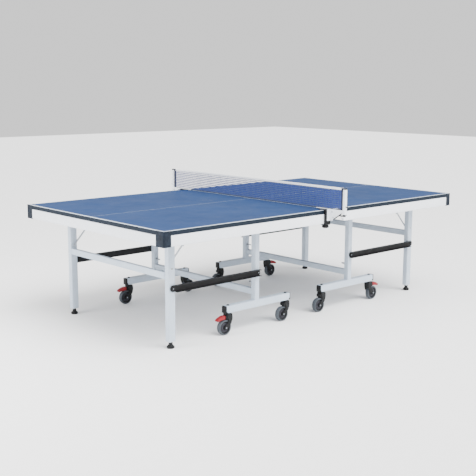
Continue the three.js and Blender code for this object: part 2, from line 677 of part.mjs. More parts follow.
// Knob and screw in one, from its underside up to where it presses on the apron.
function clampKnob() {
  const knobTop = APRON_BOTTOM - CLAMP_SCREW_ROOM - CLAMP_JAW - FIT;
  const knobBottom = knobTop - KNOB_HEIGHT;
  const profile = [
    [0, knobBottom],
    [KNOB_RADIUS - KNOB_EDGE, knobBottom],
    [KNOB_RADIUS, knobBottom + KNOB_EDGE],
    [KNOB_RADIUS, knobTop - KNOB_EDGE],
    [KNOB_RADIUS - KNOB_SHOULDER, knobTop],
    [CLAMP_SCREW_RADIUS, knobTop],
    [CLAMP_SCREW_RADIUS, APRON_BOTTOM - FIT],
    [0, APRON_BOTTOM - FIT],
  ];
  const geometry = turned(profile);
  geometry.rotateX(Math.PI / 2);
  return toSolid(geometry);
}

// ---- assembly ----
function piece(name, solid, finish) {
  const mesh = new THREE.Mesh(toGeometry(solid), new THREE.MeshStandardMaterial(MATERIALS[finish]));
  mesh.name = name;
  return mesh;
}

function castor(label, x, y, trailTurn, braked) {
  const group = new THREE.Group();
  group.position.set(x, y, 0);
  group.rotation.z = trailTurn;
  group.add(piece(`castor_fork_${label}`, castorFork(), 'black_plastic'));
  const wheel = piece(`castor_wheel_${label}`, castorWheel(), 'tyre');
  wheel.position.set(CASTOR_TRAIL, 0, WHEEL_RADIUS);
  group.add(wheel);
  if (braked) {
    group.add(piece(`brake_lever_${label}`, brakeLever(), 'red_plastic'));
  }
  return group;
}

// half is a or b; at half a turn an inner castor trails towards the net, at no turn away from it.
function tableHalf(half, innerTrailTurns) {
  const group = new THREE.Group();
  const halfTurned = half === 'a';
  group.rotation.z = halfTurned ? Math.PI : 0;
  group.add(piece(`board_${half}`, board(), 'board'));
  group.add(piece(`apron_${half}`, apron(halfTurned ? APRON_NET_GAP : APRON_CLEAR_GAP), 'apron'));
  group.add(piece(`under_frame_${half}`, underFrame(), 'zinc'));
  group.add(piece(`leg_frame_${half}`, legFrame(), 'tube'));
  group.add(piece(`trolley_arch_${half}`, trolleyArch(), 'tube'));
  for (const side of [-1, 1]) {
    const place = (side < 0) === halfTurned ? 'rear' : 'front';
    const label = `${half}_${place}`;
    group.add(piece(`corner_cap_${label}`, cornerCap(side), 'slate_plastic'));
    group.add(piece(`brace_${label}`, brace(side), 'zinc'));
    group.add(piece(`link_bar_${label}`, linkBar(side), 'black_steel'));
    group.add(piece(`wheel_beam_${label}`, wheelBeam(side), 'tube'));
    const footMesh = piece(`foot_${label}`, foot(), 'black_plastic');
    footMesh.position.set(LEG_X, side * FRAME_Y, 0);
    group.add(footMesh);
    group.add(castor(`${label}_outer`, BEAM_OUTER_X - CASTOR_INSET, side * FRAME_Y, 0, true));
    group.add(castor(`${label}_inner`, BEAM_INNER_X + CASTOR_INSET, side * FRAME_Y, innerTrailTurns[place], false));
  }
  return group;
}

function netSet() {
  const group = new THREE.Group();
  group.add(piece('net', net(), 'net'));
  for (const side of [-1, 1]) {
    const place = side < 0 ? 'front' : 'rear';
    group.add(piece(`net_post_${place}`, netPost(side), 'tube'));
    group.add(piece(`net_clamp_${place}`, netClamp(side), 'black_plastic'));
    const knob = piece(`clamp_knob_${place}`, clampKnob(), 'black_plastic');
    knob.position.set(-CLAMP_NET_GAP - CLAMP_LENGTH / 2, side * (HALF_WIDTH - CLAMP_SCREW_INSET), 0);
    group.add(knob);
  }
  return group;
}

const table = new THREE.Group();
const innerTrailsA = { front: 0, rear: Math.PI };
const innerTrailsB = { front: Math.PI, rear: Math.PI };
table.add(tableHalf('a', innerTrailsA), tableHalf('b', innerTrailsB), netSet());

export default table;
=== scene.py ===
"""A folding match table for ping pong on two rolling trolleys, with its net set.

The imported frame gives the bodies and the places; every shape here is worked out in millimetres
and stored in metres. Each half is drawn once, reaching towards +X and +Y, and is then put in
its quadrant: half a lies towards -X, half b towards +X, front is -Y and rear is +Y.
"""

import math
from functools import partial

import bmesh
import bpy
import numpy as np
from mathutils import Matrix, Vector


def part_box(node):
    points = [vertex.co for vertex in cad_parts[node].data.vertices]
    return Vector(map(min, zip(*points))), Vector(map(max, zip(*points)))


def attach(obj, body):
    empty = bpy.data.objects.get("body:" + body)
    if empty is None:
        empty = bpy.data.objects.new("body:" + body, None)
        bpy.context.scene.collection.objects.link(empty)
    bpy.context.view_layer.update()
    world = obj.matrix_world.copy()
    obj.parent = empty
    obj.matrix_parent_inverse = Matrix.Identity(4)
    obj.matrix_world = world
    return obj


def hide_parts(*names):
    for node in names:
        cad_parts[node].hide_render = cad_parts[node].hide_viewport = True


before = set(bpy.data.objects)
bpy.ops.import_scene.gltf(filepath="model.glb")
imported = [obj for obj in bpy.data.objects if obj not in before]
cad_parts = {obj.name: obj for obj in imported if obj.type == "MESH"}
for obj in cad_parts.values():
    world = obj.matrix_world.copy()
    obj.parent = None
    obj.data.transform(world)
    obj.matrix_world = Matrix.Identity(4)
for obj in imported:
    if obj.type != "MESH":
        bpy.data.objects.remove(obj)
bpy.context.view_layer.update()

MM = 0.001
HALVES = {"a": -1, "b": 1}
PLACES = {"front": -1, "rear": 1}


def node_box(node):
    """Lowest and highest corner of a CAD node at rest, in millimetres."""
    low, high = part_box(node)
    return np.array(low) / MM, np.array(high) / MM


# ---- sizes, millimetres ----
BOARD_LOW, BOARD_HIGH = node_box("board_b")
HALF_LENGTH = BOARD_HIGH[0]
HALF_WIDTH = BOARD_HIGH[1]
PLAY_TOP = BOARD_HIGH[2]
BOARD_UNDER = BOARD_LOW[2]
NET_EDGE = BOARD_LOW[0]
APRON_LOW, APRON_HIGH = node_box("apron_b")
APRON_UNDER = APRON_LOW[2]
APRON_TOP = APRON_HIGH[2]
ARRIS = 1.4
LINE_WIDTH = 18
CENTRE_LINE = 3

APRON_WALL = 2
APRON_FLANGE = 18
APRON_LIP = 9
APRON_BEND = 4.5
APRON_NOSE = 17

CAP_REACH = 54
CAP_END_REACH = 73
CAP_WALL = 5
CAP_RADIUS = 10
CAP_UNDER = node_box("corner_cap_b_front")[0][2]
CAP_GAP = 0.3
SEAT = CAP_WALL + CAP_GAP

LEG_X = 1156
FRAME_Y = 540
LEG_WIDTH = 50
UPRIGHT_DEPTH = 40
UPRIGHT_INNER = FRAME_Y - UPRIGHT_DEPTH / 2
UPRIGHT_OUTER = FRAME_Y + UPRIGHT_DEPTH / 2
LEG_Z = (45, 716)
LEG_BAR_X = (1159, 1181)
LEG_BAR_Z = (425, 467)
TUBE_ROUND = 6
BAR_ROUND = 3.5
WELD_BEAD = 1.6
WELD_UNEVEN = 0.3
WELD_STAND = 0.4
POST_X = 458
POST_WIDTH = 40
POST_Z = (188.6, 724)
TROLLEY_BAR_X = (443, 473)
TROLLEY_BAR_Z = (220.3, 260.3)
PIVOT_Z = 708
PIVOT_RADIUS = 6
RAIL_INNER = 484
BEAM_X = (157, 720)
BEAM_Z = (142.3, 188.3)
BEAM_WIDTH = 40
BEAM_CHAMFER = 14
LATCH_Z = 300

BRACE_LOW = (1156, 490)
BRACE_HIGH = (953, 708)
BRACE_Y = (514, 518)
BRACE_WIDTH = 10
BRACE_EYE = 9
BRACE_SLEEVE_FROM = 0.56
BRACE_SLEEVE_WIDTH = 20
BRACE_RIVET_AT = 0.62
SLEEVE_WALL = 0.8
BRACE_PIN = 4

LINK_Z = 371
LINK_DEPTH = 42
LINK_Y = 565
LINK_WALL = 3
LINK_HEAD = LINK_Y + LINK_WALL + 0.3
LINK_PIN = 5
LINK_FLANGE = 25
LINK_X = (440, 1174)
LINK_FLANGE_X = (446, 1140)

WHEEL_RADIUS = 50
TYRE_HALF = 15
RIM_RADIUS = 40
HUB_HALF = 16.5
TRAIL = 32
FORK_INNER = 17.5
FORK_OUTER = 21.5
FORK_TOP = 138
FORK_EYE = 13
HOOD_RADIUS = 54.5
DISC_RIBS = 6
PEDAL_HALF = 13.5
TREAD_HALF = 11.5

NET_LOW, NET_HIGH = node_box("net")
NET_HALF = NET_HIGH[1]
NET_Z = (NET_LOW[2], NET_HIGH[2])
TAPE_HEIGHT = 15
SLEEVE_WIDTH = 20
NET_CELL = 13
NET_CORD = 4.7
TAPE_THREAD = 1.4
NET_POST_INNER = NET_HALF + 0.3
NET_POST_SIZE = 20
NET_POST_Z = (735, 908.5)
CLAMP_FACE = 775.8
SHELF_START = 665.5
SHELF_TOP = 766.6

# ---- camera and light ----
CAMERA_PLACE = Vector((-4.2776, -4.5744, 1.5571))
CAMERA_TARGET = Vector((-0.1795, -0.0661, 0.5))
CAMERA_ROLL = math.radians(0.19)
CAMERA_LENS = 66.2
WORLD_STRENGTH = 1.1
KEY_STRENGTH = 6.0
KEY_FROM = (0.15, -1.0, 1.4)
KEY_SPREAD = math.radians(50)
# name, place, target and side in metres, power in watts
SOFT_BOXES = (
    ("box_above", (-0.6, -0.8, 4.2), (0, 0, 0.4), 4.5, 120),
    ("box_left", (-4.2, 0.4, 1.5), (-1.2, 0, 0.5), 2.0, 150),
    ("box_front", (1.6, -5.2, 1.9), (0.3, 0, 0.5), 2.5, 110),
)


def set_camera():
    """The camera looks from its place to its target and is then rolled about its own axis."""
    data = bpy.data.cameras.new("camera")
    data.lens = CAMERA_LENS
    data.sensor_width = 36
    data.clip_end = 50
    camera = bpy.data.objects.new("camera", data)
    bpy.context.collection.objects.link(camera)
    aim = (CAMERA_TARGET - CAMERA_PLACE).to_track_quat("-Z", "Y").to_matrix().to_4x4()
    camera.matrix_world = Matrix.Translation(CAMERA_PLACE) @ aim @ Matrix.Rotation(CAMERA_ROLL, 4, "Z")
    bpy.context.scene.camera = camera


def area_light(name, place, target, size, watts):
    """A square soft box of the given side, in metres, that looks at its target."""
    data = bpy.data.lights.new(name, "AREA")
    data.size = size
    data.energy = watts
    light = bpy.data.objects.new(name, data)
    bpy.context.collection.objects.link(light)
    aim = (Vector(target) - Vector(place)).to_track_quat("-Z", "Y").to_matrix().to_4x4()
    light.matrix_world = Matrix.Translation(Vector(place)) @ aim


def set_studio():
    """An even white surround, a wide soft key from the front, and three large soft boxes."""
    world = bpy.data.worlds.new("studio")
    world.use_nodes = True
    background = world.node_tree.nodes["Background"]
    background.inputs["Color"].default_value = (1, 1, 1, 1)
    background.inputs["Strength"].default_value = WORLD_STRENGTH
    bpy.context.scene.world = world
    data = bpy.data.lights.new("soft_key", "SUN")
    data.energy = KEY_STRENGTH
    data.angle = KEY_SPREAD
    key = bpy.data.objects.new("soft_key", data)
    bpy.context.collection.objects.link(key)
    key.matrix_world = Vector(KEY_FROM).to_track_quat("Z", "Y").to_matrix().to_4x4()
    for soft_box in SOFT_BOXES:
        area_light(*soft_box)


# ---- materials ----
MATH = "ShaderNodeMath"
NOISE = "ShaderNodeTexNoise"
CELLS = "ShaderNodeTexVoronoi"
BLEND = "ShaderNodeMix"
RANGE = "ShaderNodeMapRange"
BUMP = "ShaderNodeBump"
SPLIT = "ShaderNodeSeparateXYZ"
SHADER = "ShaderNodeBsdfPrincipled"
RESULT = "ShaderNodeOutputMaterial"
STREAK_STRETCH = 0.15  # streaks in the edging are about seven times as long as wide
SCRATCH_STRETCH = 0.08  # scratches in the plating are about twelve times as long as wide


def linear(code):
    """An sRGB hex colour as linear red, green and blue with full alpha."""
    parts = [int(code[i:i + 2], 16) / 255 for i in (0, 2, 4)]
    return tuple(c / 12.92 if c <= 0.04045 else ((c + 0.055) / 1.055) ** 2.4 for c in parts) + (1,)


def add(tree, kind, inputs=None, **settings):
    """Adds one node and gives back its outputs; an input takes a value or another node's output."""
    node = tree.nodes.new(kind)
    for name, value in settings.items():
        setattr(node, name, value)
    for key, value in (inputs or {}).items():
        if isinstance(value, bpy.types.NodeSocket):
            tree.links.new(value, node.inputs[key])
        else:
            node.inputs[key].default_value = value
    return node.outputs


def per(size_mm):
    """Scale of a pattern whose features are this many millimetres across."""
    return 1 / (size_mm * MM)


def start(name):
    """A new material with an empty tree, the way to add nodes to it, and its object coordinates."""
    material = bpy.data.materials.new(name)
    material.use_nodes = True
    tree = material.node_tree
    tree.nodes.clear()
    node = partial(add, tree)
    return material, node, node("ShaderNodeTexCoord")["Object"]


def uneven(node, place, size_mm, detail, turn, span=(0, 1), rough=0.5):
    """A value that wanders over its span in soft patches of a given size.

    turn is the stretch of the noise over which the value goes from one end of its span to the other.
    """
    pattern = {"Vector": place, "Scale": per(size_mm), "Detail": detail, "Roughness": rough}
    cloud = node(NOISE, pattern)[0]
    return node(RANGE, {0: cloud, 1: turn[0], 2: turn[1], 3: span[0], 4: span[1]})[0]


def patches(node, place, size_mm, detail, turn, first, second, amount=1.0):
    """Two colours in soft patches of a given size; amount is the most of the second that shows."""
    share = uneven(node, place, size_mm, detail, turn, (0, amount))
    return node(BLEND, {0: share, 6: first, 7: linear(second)}, data_type="RGBA")[2]


def rubbed_edges(node, chip, colour, worn):
    """The worn colour where the surface turns a sharp edge and the chip pattern is high."""
    corner = node("ShaderNodeNewGeometry")["Pointiness"]
    corner = node(RANGE, {0: corner, 1: 0.52, 2: 0.6})[0]
    rub = node(MATH, {0: corner, 1: chip}, operation="MULTIPLY")[0]
    return node(BLEND, {0: rub, 6: colour, 7: linear(worn)}, data_type="RGBA")[2]


def top_coating():
    """Polyurethane coating, rolled on: an even matt blue with a fine grain, and white lines on it."""
    material, node, place = start("rolled_polyurethane_coating")
    x, y, _ = node(SPLIT, {0: place})
    along = node(MATH, {0: x}, operation="ABSOLUTE")[0]
    across = node(MATH, {0: y}, operation="ABSOLUTE")[0]
    borders = []
    for distance, limit in ((along, HALF_LENGTH), (across, HALF_WIDTH)):
        beyond = {0: distance, 1: (limit - LINE_WIDTH) * MM}
        borders.append(node(MATH, beyond, operation="GREATER_THAN")[0])
    middle = node(MATH, {0: across, 1: CENTRE_LINE / 2 * MM}, operation="LESS_THAN")[0]
    thin = node(MATH, {0: middle, 1: 0.5}, operation="MULTIPLY")[0]
    border = node(MATH, {0: borders[0], 1: borders[1]}, operation="MAXIMUM")[0]
    lines = node(MATH, {0: border, 1: thin}, operation="MAXIMUM")[0]
    blue = patches(node, place, 320, 4, (0.35, 0.65), linear("13305A"), "16345F")
    blue = patches(node, place, 3, 2, (0.62, 0.75), blue, "203F6C", 0.25)
    white = patches(node, place, 40, 3, (0.4, 0.7), linear("C8D1DD"), "BEC8D5")
    colour = node(BLEND, {0: lines, 6: blue, 7: white}, data_type="RGBA")[2]
    rubbed = uneven(node, place, 180, 5, (0.35, 0.7), (0.58, 0.7), 0.6)
    grain = node(NOISE, {"Vector": place, "Scale": per(1.6), "Detail": 3, "Roughness": 0.6})[0]
    ink = node(MATH, {0: lines, 1: 0.6, 2: grain}, operation="MULTIPLY_ADD")[0]
    bump = node(BUMP, {"Height": ink, "Strength": 0.5, "Distance": 0.08 * MM})[0]
    surface = {"Base Color": colour, "Roughness": rubbed, "Normal": bump}
    surface.update({"IOR": 1.5, "Specular IOR Level": 0.22})
    node(RESULT, {"Surface": node(SHADER, surface)[0]})
    return material


def edge_band():
    """ABS edging, extruded: slate grey, satin, with faint streaks along the way it was drawn."""
    material, node, place = start("abs_edge_band")
    drawn = node("ShaderNodeMapping", {0: place, "Scale": (STREAK_STRETCH, STREAK_STRETCH, 1)})[0]
    streak = node(NOISE, {"Vector": drawn, "Scale": per(6), "Detail": 3})[0]
    colour = node(BLEND, {0: streak, 6: linear("0D151F"), 7: linear("15202C")}, data_type="RGBA")[2]
    rough = node(RANGE, {0: streak, 1: 0.3, 2: 0.7, 3: 0.42, 4: 0.58})[0]
    bump = node(BUMP, {"Height": streak, "Strength": 0.5, "Distance": 0.06 * MM})[0]
    surface = {"Base Color": colour, "Roughness": rough, "Normal": bump}
    surface.update({"IOR": 1.53, "Specular IOR Level": 0.12})
    node(RESULT, {"Surface": node(SHADER, surface)[0]})
    return material


def particle_board():
    """Sealed particle board: dark blue-grey primer over pressed chips that show through it."""
    material, node, place = start("sealed_particle_board")
    chips = node(CELLS, {"Vector": place, "Scale": per(7), "Randomness": 1.0})["Distance"]
    shade = node(RANGE, {0: chips, 2: 0.8})[0]
    colour = node(BLEND, {0: shade, 6: linear("39424F"), 7: linear("4A5361")}, data_type="RGBA")[2]
    dust = node(NOISE, {"Vector": place, "Scale": per(2), "Detail": 4})[0]
    height = node(MATH, {0: chips, 1: dust})[0]
    bump = node(BUMP, {"Height": height, "Strength": 0.6, "Distance": 0.15 * MM})[0]
    surface = {"Base Color": colour, "Normal": bump, "Roughness": 0.8, "IOR": 1.48}
    node(RESULT, {"Surface": node(SHADER, surface)[0]})
    return material


def powder_coat(name, main, other, roughness, worn, gloss=0.5):
    """Baked polyester powder on steel: an even colour, orange-peel waves and thin worn edges."""
    material, node, place = start(name)
    colour = patches(node, place, 90, 4, (0.35, 0.65), linear(main), other)
    colour = patches(node, place, 1.2, 2, (0.6, 0.72), colour, worn, 0.35)
    chip = node(NOISE, {"Vector": place, "Scale": per(14), "Detail": 4, "Roughness": 0.7})[0]
    colour = rubbed_edges(node, chip, colour, worn)
    rough = uneven(node, place, 35, 3, (0.3, 0.7), (roughness - 0.06, roughness + 0.08))
    peel = node(NOISE, {"Vector": place, "Scale": per(2.5), "Detail": 2, "Roughness": 0.4})[0]
    bump = node(BUMP, {"Height": peel, "Strength": 0.35, "Distance": 0.12 * MM})[0]
    surface = {"Base Color": colour, "Roughness": rough, "Normal": bump}
    surface.update({"IOR": 1.5, "Specular IOR Level": gloss})
    surface.update({"Coat Weight": 0.1 * gloss, "Coat Roughness": 0.3})
    node(RESULT, {"Surface": node(SHADER, surface)[0]})
    return material


def plated(name, main, other, roughness):
    """Zinc-plated steel: bright grey metal with faint crystals and fine drawn scratches."""
    material, node, place = start(name)
    spangle = node(CELLS, {"Vector": place, "Scale": per(3)})["Distance"]
    stain = node(NOISE, {"Vector": place, "Scale": per(12), "Detail": 4})[0]
    dull = node(MATH, {0: spangle, 1: stain})[0]
    dull = node(RANGE, {0: dull, 1: 0.4, 2: 1.2})[0]
    colour = node(BLEND, {0: dull, 6: linear(main), 7: linear(other)}, data_type="RGBA")[2]
    drawn = node("ShaderNodeMapping", {0: place, "Scale": (1, 1, SCRATCH_STRETCH)})[0]
    scratch = node(NOISE, {"Vector": drawn, "Scale": per(1.5), "Detail": 3, "Roughness": 0.6})[0]
    rough = node(RANGE, {0: scratch, 1: 0.3, 2: 0.7, 3: roughness - 0.1, 4: roughness + 0.15})[0]
    bump = node(BUMP, {"Height": scratch, "Strength": 0.4, "Distance": 0.03 * MM})[0]
    surface = {"Base Color": colour, "Roughness": rough, "Normal": bump, "Metallic": 1.0}
    node(RESULT, {"Surface": node(SHADER, surface)[0]})
    return material


def moulded(name, main, other, roughness, worn, gloss=0.5):
    """Injection-moulded plastic: a spark-eroded grain 0.9 mm across, paler where edges are rubbed."""
    material, node, place = start(name)
    colour = patches(node, place, 30, 3, (0.35, 0.65), linear(main), other)
    colour = rubbed_edges(node, uneven(node, place, 9, 4, (0.4, 0.7)), colour, worn)
    rough = uneven(node, place, 20, 3, (0.3, 0.7), (roughness - 0.07, roughness + 0.08))
    grain = node(NOISE, {"Vector": place, "Scale": per(0.9), "Detail": 2})[0]
    bump = node(BUMP, {"Height": grain, "Strength": 0.4, "Distance": 0.12 * MM})[0]
    surface = {"Base Color": colour, "Roughness": rough, "Normal": bump}
    surface.update({"IOR": 1.5, "Specular IOR Level": gloss})
    node(RESULT, {"Surface": node(SHADER, surface)[0]})
    return material


def tyre_rubber():
    """Grey non-marking rubber tread: matt, with dust picked up where it rolls."""
    material, node, place = start("grey_rubber_tread")
    dust = uneven(node, place, 7, 5, (0.42, 0.68), rough=0.65)
    colour = node(BLEND, {0: dust, 6: linear("343A41"), 7: linear("4A5057")}, data_type="RGBA")[2]
    rough = node(RANGE, {0: dust, 3: 0.66, 4: 0.88})[0]
    grain = node(NOISE, {"Vector": place, "Scale": per(0.8), "Detail": 3, "Roughness": 0.6})[0]
    bump = node(BUMP, {"Height": grain, "Strength": 0.5, "Distance": 0.1 * MM})[0]
    surface = {"Base Color": colour, "Roughness": rough, "Normal": bump, "IOR": 1.52}
    node(RESULT, {"Surface": node(SHADER, surface)[0]})
    return material


def net_cord_mesh():
    """Knotted nylon net in blue: square openings between round twisted cords, with a painted highlight
    that makes the knots paler.

    Real openings are about 10 mm with 1 mm cord; the mesh is drawn coarser so that it shows.
    """
    material, node, _ = start("knotted_nylon_net")
    cloth = node("ShaderNodeUVMap", uv_map="cloth")[0]
    ridges = []
    for axis in list(node(SPLIT, {0: cloth}))[:2]:
        turns = node(MATH, {0: axis, 1: NET_CELL * MM}, operation="DIVIDE")[0]
        cell = node(MATH, {0: turns}, operation="FRACT")[0]
        offset = node(MATH, {0: cell, 1: 0.5}, operation="SUBTRACT")[0]
        ridges.append(node(MATH, {0: offset}, operation="ABSOLUTE")[0])
    thread = node(MATH, {0: ridges[0], 1: ridges[1]}, operation="MAXIMUM")[0]
    edge = 0.5 - NET_CORD / NET_CELL / 2
    covered = node(MATH, {0: thread, 1: edge}, operation="GREATER_THAN")[0]
    # painted highlight: the cords are made paler where they cross, at the knots
    knot_highlight = node(MATH, {0: ridges[0], 1: ridges[1]}, operation="MINIMUM")[0]
    knot_highlight = node(RANGE, {0: knot_highlight, 1: 0.34, 2: 0.5})[0]
    colour = patches(node, cloth, 30, 3, (0.3, 0.7), linear("071F66"), "0D2A7A")
    colour = node(BLEND, {0: knot_highlight, 6: colour, 7: linear("23489C")}, data_type="RGBA")[2]
    twist = node(NOISE, {"Vector": cloth, "Scale": per(0.8), "Detail": 2})[0]
    height = node(MATH, {0: thread, 1: twist})[0]
    bump = node(BUMP, {"Height": height, "Strength": 0.6, "Distance": 0.5 * MM})[0]
    surface = {"Base Color": colour, "Normal": bump, "Alpha": covered}
    surface.update({"Roughness": 0.75, "IOR": 1.53, "Sheen Weight": 0.1})
    node(RESULT, {"Surface": node(SHADER, surface)[0]})
    return material


def woven_tape(name, main, other):
    """Woven tape: threads crossing in a plain weave, drawn 1.4 mm wide so that they show; painted shade
    darkens the weave's hollows and lightens its raised threads, over real soil.
    """
    material, node, place = start(name)
    _, y, z = node(SPLIT, {0: place})
    turns = 2 * math.pi * per(TAPE_THREAD)
    waves = []
    for axis in (y, z):
        angle = node(MATH, {0: axis, 1: turns}, operation="MULTIPLY")[0]
        waves.append(node(MATH, {0: angle}, operation="SINE")[0])
    weave = node(MATH, {0: waves[0], 1: waves[1]}, operation="MULTIPLY")[0]
    soil = node(NOISE, {"Vector": place, "Scale": per(25), "Detail": 3})[0]
    # painted shade: the colour follows the weave's height, darker in its hollows and paler on raised
    # threads, mixed with real soil
    shade = node(MATH, {0: weave, 1: soil})[0]
    shade = node(RANGE, {0: shade, 1: -0.6, 2: 1.4})[0]
    colour = node(BLEND, {0: shade, 6: linear(main), 7: linear(other)}, data_type="RGBA")[2]
    bump = node(BUMP, {"Height": weave, "Strength": 0.5, "Distance": 0.3 * MM})[0]
    surface = {"Base Color": colour, "Normal": bump, "Roughness": 0.85, "IOR": 1.5, "Sheen Weight": 0.2}
    node(RESULT, {"Surface": node(SHADER, surface)[0]})
    return material


def studio_floor():
    """Pale seamless paper floor, matt, with the faintest fibre."""
    material, node, place = start("seamless_paper")
    fibre = node(NOISE, {"Vector": place, "Scale": per(60), "Detail": 3})[0]
    colour = node(BLEND, {0: fibre, 6: linear("F6F6F6"), 7: linear("FAFAFA")}, data_type="RGBA")[2]
    surface = {"Base Color": colour, "Roughness": 0.9, "IOR": 1.45, "Specular IOR Level": 0.2}
    node(RESULT, {"Surface": node(SHADER, surface)[0]})
    return material


COATING = top_coating()
EDGING = edge_band()
UNDERSIDE = particle_board()
APRON_COAT = powder_coat("silver_white_powder_coat", "EDF0F6", "F2F5FA", 0.45, "C9D0D8")
TUBE_COAT = powder_coat("silver_powder_coat", "B4C2D2", "BDCAD8", 0.42, "A0AAB5")
BLACK_COAT = powder_coat("black_powder_coat", "0E0E10", "141416", 0.5, "303134", 0.15)
FRAME_COAT = powder_coat("grey_powder_coat", "8A929B", "949CA5", 0.45, "A6AFB8")
ZINC = plated("zinc_plated_steel", "B9BEC4", "8C9299", 0.32)
BRACE_STEEL = plated("galvanised_strip", "C6CBD1", "A7ADB4", 0.5)
SLATE = moulded("slate_abs_moulding", "0D141E", "141D29", 0.5, "343B44", 0.12)
BLACK = moulded("black_nylon_moulding", "0A0B0C", "101113", 0.48, "34363A", 0.2)
PALE = moulded("pale_nylon_plug", "C2C9CF", "CDD3D8", 0.5, "DDE1E5")
DISC = moulded("grey_polypropylene_disc", "26242B", "2E2C34", 0.5, "4A4E54", 0.2)
RED = moulded("red_nylon_pedal", "7A0A14", "8A0F1B", 0.4, "A83A42", 0.3)
TYRE = tyre_rubber()
MESH = net_cord_mesh()
TAPE = woven_tape("white_cotton_tape", "E8EBEF", "F7F8FA")
CORD = woven_tape("pale_blue_cord", "8FA3C8", "A9B9D8")
NAVY = woven_tape("navy_polyester_tape", "0A1028", "111A34")


# ---- shapes ----
def arc(cx, cy, radius, start, end, steps):
    """Points at equal angles, in degrees, on a circle: centre plus radius times cosine and sine."""
    angle = np.radians(np.linspace(start, end, steps + 1))
    return np.stack([cx + radius * np.cos(angle), cy + radius * np.sin(angle)], axis=1)


def rounded(low, high, radius, steps=4):
    """A rectangle between two corners whose corners are quarter circles."""
    (x0, y0), (x1, y1) = low, high
    r = min(radius, (x1 - x0) / 2 - 1e-3, (y1 - y0) / 2 - 1e-3)
    corners = ((x1 - r, y1 - r, 0), (x0 + r, y1 - r, 90), (x0 + r, y0 + r, 180), (x1 - r, y0 + r, 270))
    return np.concatenate([arc(cx, cy, r, a, a + 90, steps) for cx, cy, a in corners])


def strip(centre, thick):
    """A closed outline round an open line: the line moved half its thickness to each side.

    The side direction at a point is square to the step from the point before to the one after.
    """
    step = np.gradient(centre, axis=0)
    side = np.stack([-step[:, 1], step[:, 0]], axis=1)
    side /= np.linalg.norm(side, axis=1)[:, None]
    return np.concatenate([centre + side * thick / 2, (centre - side * thick / 2)[::-1]])


AXES = {"x": (2, 0, 1), "y": (0, 2, 1), "z": (0, 1, 2)}


def rings(outline, levels, axis, draw=None):
    """An outline repeated at each level along an axis, drawn towards its middle by each draw factor.

    The outline's two values are x and y for axis z, x and z for axis y, and y and z for axis x.
    """
    outline = np.asarray(outline, float)
    levels = np.asarray(levels, float)
    shrink = np.ones(len(levels)) if draw is None else np.asarray(draw, float)
    middle = (outline.min(0) + outline.max(0)) / 2
    flat = middle + (outline - middle)[None] * shrink[:, None, None]
    height = np.broadcast_to(levels[:, None, None], flat.shape[:2] + (1,))
    return np.concatenate([flat, height], axis=2)[..., list(AXES[axis])]


def shell(grid, loop=False):
    """The closed surface of a grid of rings: quads between rings, and a face on each open end."""
    count, around = grid.shape[:2]
    rows = np.arange(count if loop else count - 1)[:, None]
    cols = np.arange(around)[None]
    after = (rows + 1) % count
    turn = (cols + 1) % around
    near, far = rows * around, after * around
    faces = [np.stack([near + cols, near + turn, far + turn, far + cols], -1).reshape(-1, 4)]
    if not loop:
        faces += [cols[:, ::-1], cols + (count - 1) * around]
    return grid.reshape(-1, 3), faces


def prism(outline, low, high, axis):
    """An outline carried straight along an axis from low to high."""
    return shell(rings(outline, (low, high), axis))


def turned(profile, centre, axis, segments=32, wave=None):
    """A profile of radius and height turned about an axis through centre.

    Each point is centre plus radius times cosine and sine of the angle, at its height; wave is
    a factor of the radius for each angle, for lobes and hexagons.
    """
    profile = np.asarray(profile, float)
    angle = np.linspace(0, 2 * np.pi, segments, endpoint=False)
    factor = np.ones(segments) if wave is None else wave(angle)
    radius = np.maximum(profile[:, 0], 1e-3)[:, None] * factor[None]
    height = np.broadcast_to(profile[:, 1][:, None], radius.shape)
    grid = np.stack([radius * np.cos(angle), radius * np.sin(angle), height], -1)[..., list(AXES[axis])]
    return shell(grid + np.asarray(centre, float))


def rod(radius, low, high):
    """Profile of a plain round bar: out at low, up to high and back to the axis."""
    return [(0, low), (radius, low), (radius, high), (0, high)]


def turned_ring(profile, centre, axis, segments=48):
    """A closed profile turned about an axis, so that the surface is a ring with a hole."""
    profile = np.asarray(profile, float)
    angle = np.linspace(0, 2 * np.pi, segments, endpoint=False)
    radius = np.broadcast_to(profile[:, 0][None], (segments, len(profile)))
    height = np.broadcast_to(profile[:, 1][None], radius.shape)
    spin = angle[:, None]
    grid = np.stack([radius * np.cos(spin), radius * np.sin(spin), height], -1)[..., list(AXES[axis])]
    return shell(grid + np.asarray(centre, float), loop=True)


def hexagon(angle):
    """Radius of a hexagon as a factor of its corner radius."""
    return np.cos(np.pi / 6) / np.cos((angle % (np.pi / 3)) - np.pi / 6)


def lobes(count, depth):
    """Radius of a knob with count soft lobes, depth deep as a share of its radius."""
    return lambda angle: 1 - depth / 2 + depth / 2 * np.cos(count * angle)


def pan_head(centre, axis, radius, height, out=1):
    """A low domed bolt head on a washer: profile from the washer's rim up over the dome."""
    bend = np.radians(np.linspace(0, 90, 6))
    dome = np.stack([radius * np.cos(bend), height * (0.35 + 0.65 * np.sin(bend))], 1)
    washer = [(0, 0), (radius * 1.45, 0), (radius * 1.45, height * 0.2), (radius, height * 0.2)]
    return turned(np.concatenate([washer, dome]) * (1, out), centre, axis, 24)


def hex_head(centre, axis, radius, height, out=1):
    """A hexagon head or nut with a chamfered top, on a round washer."""
    foot, brow = height * 0.2, height * 0.85
    nut = [(0, foot), (radius, foot), (radius, brow), (radius * 0.86, height), (0, height)]
    parts = [(rod(radius * 1.3, 0, height * 0.22), None), (nut, hexagon)]
    return [turned(np.array(p) * (1, out), centre, axis, 24, wave) for p, wave in parts]


# ---- pieces ----
EDGE_ANGLE = math.radians(35)


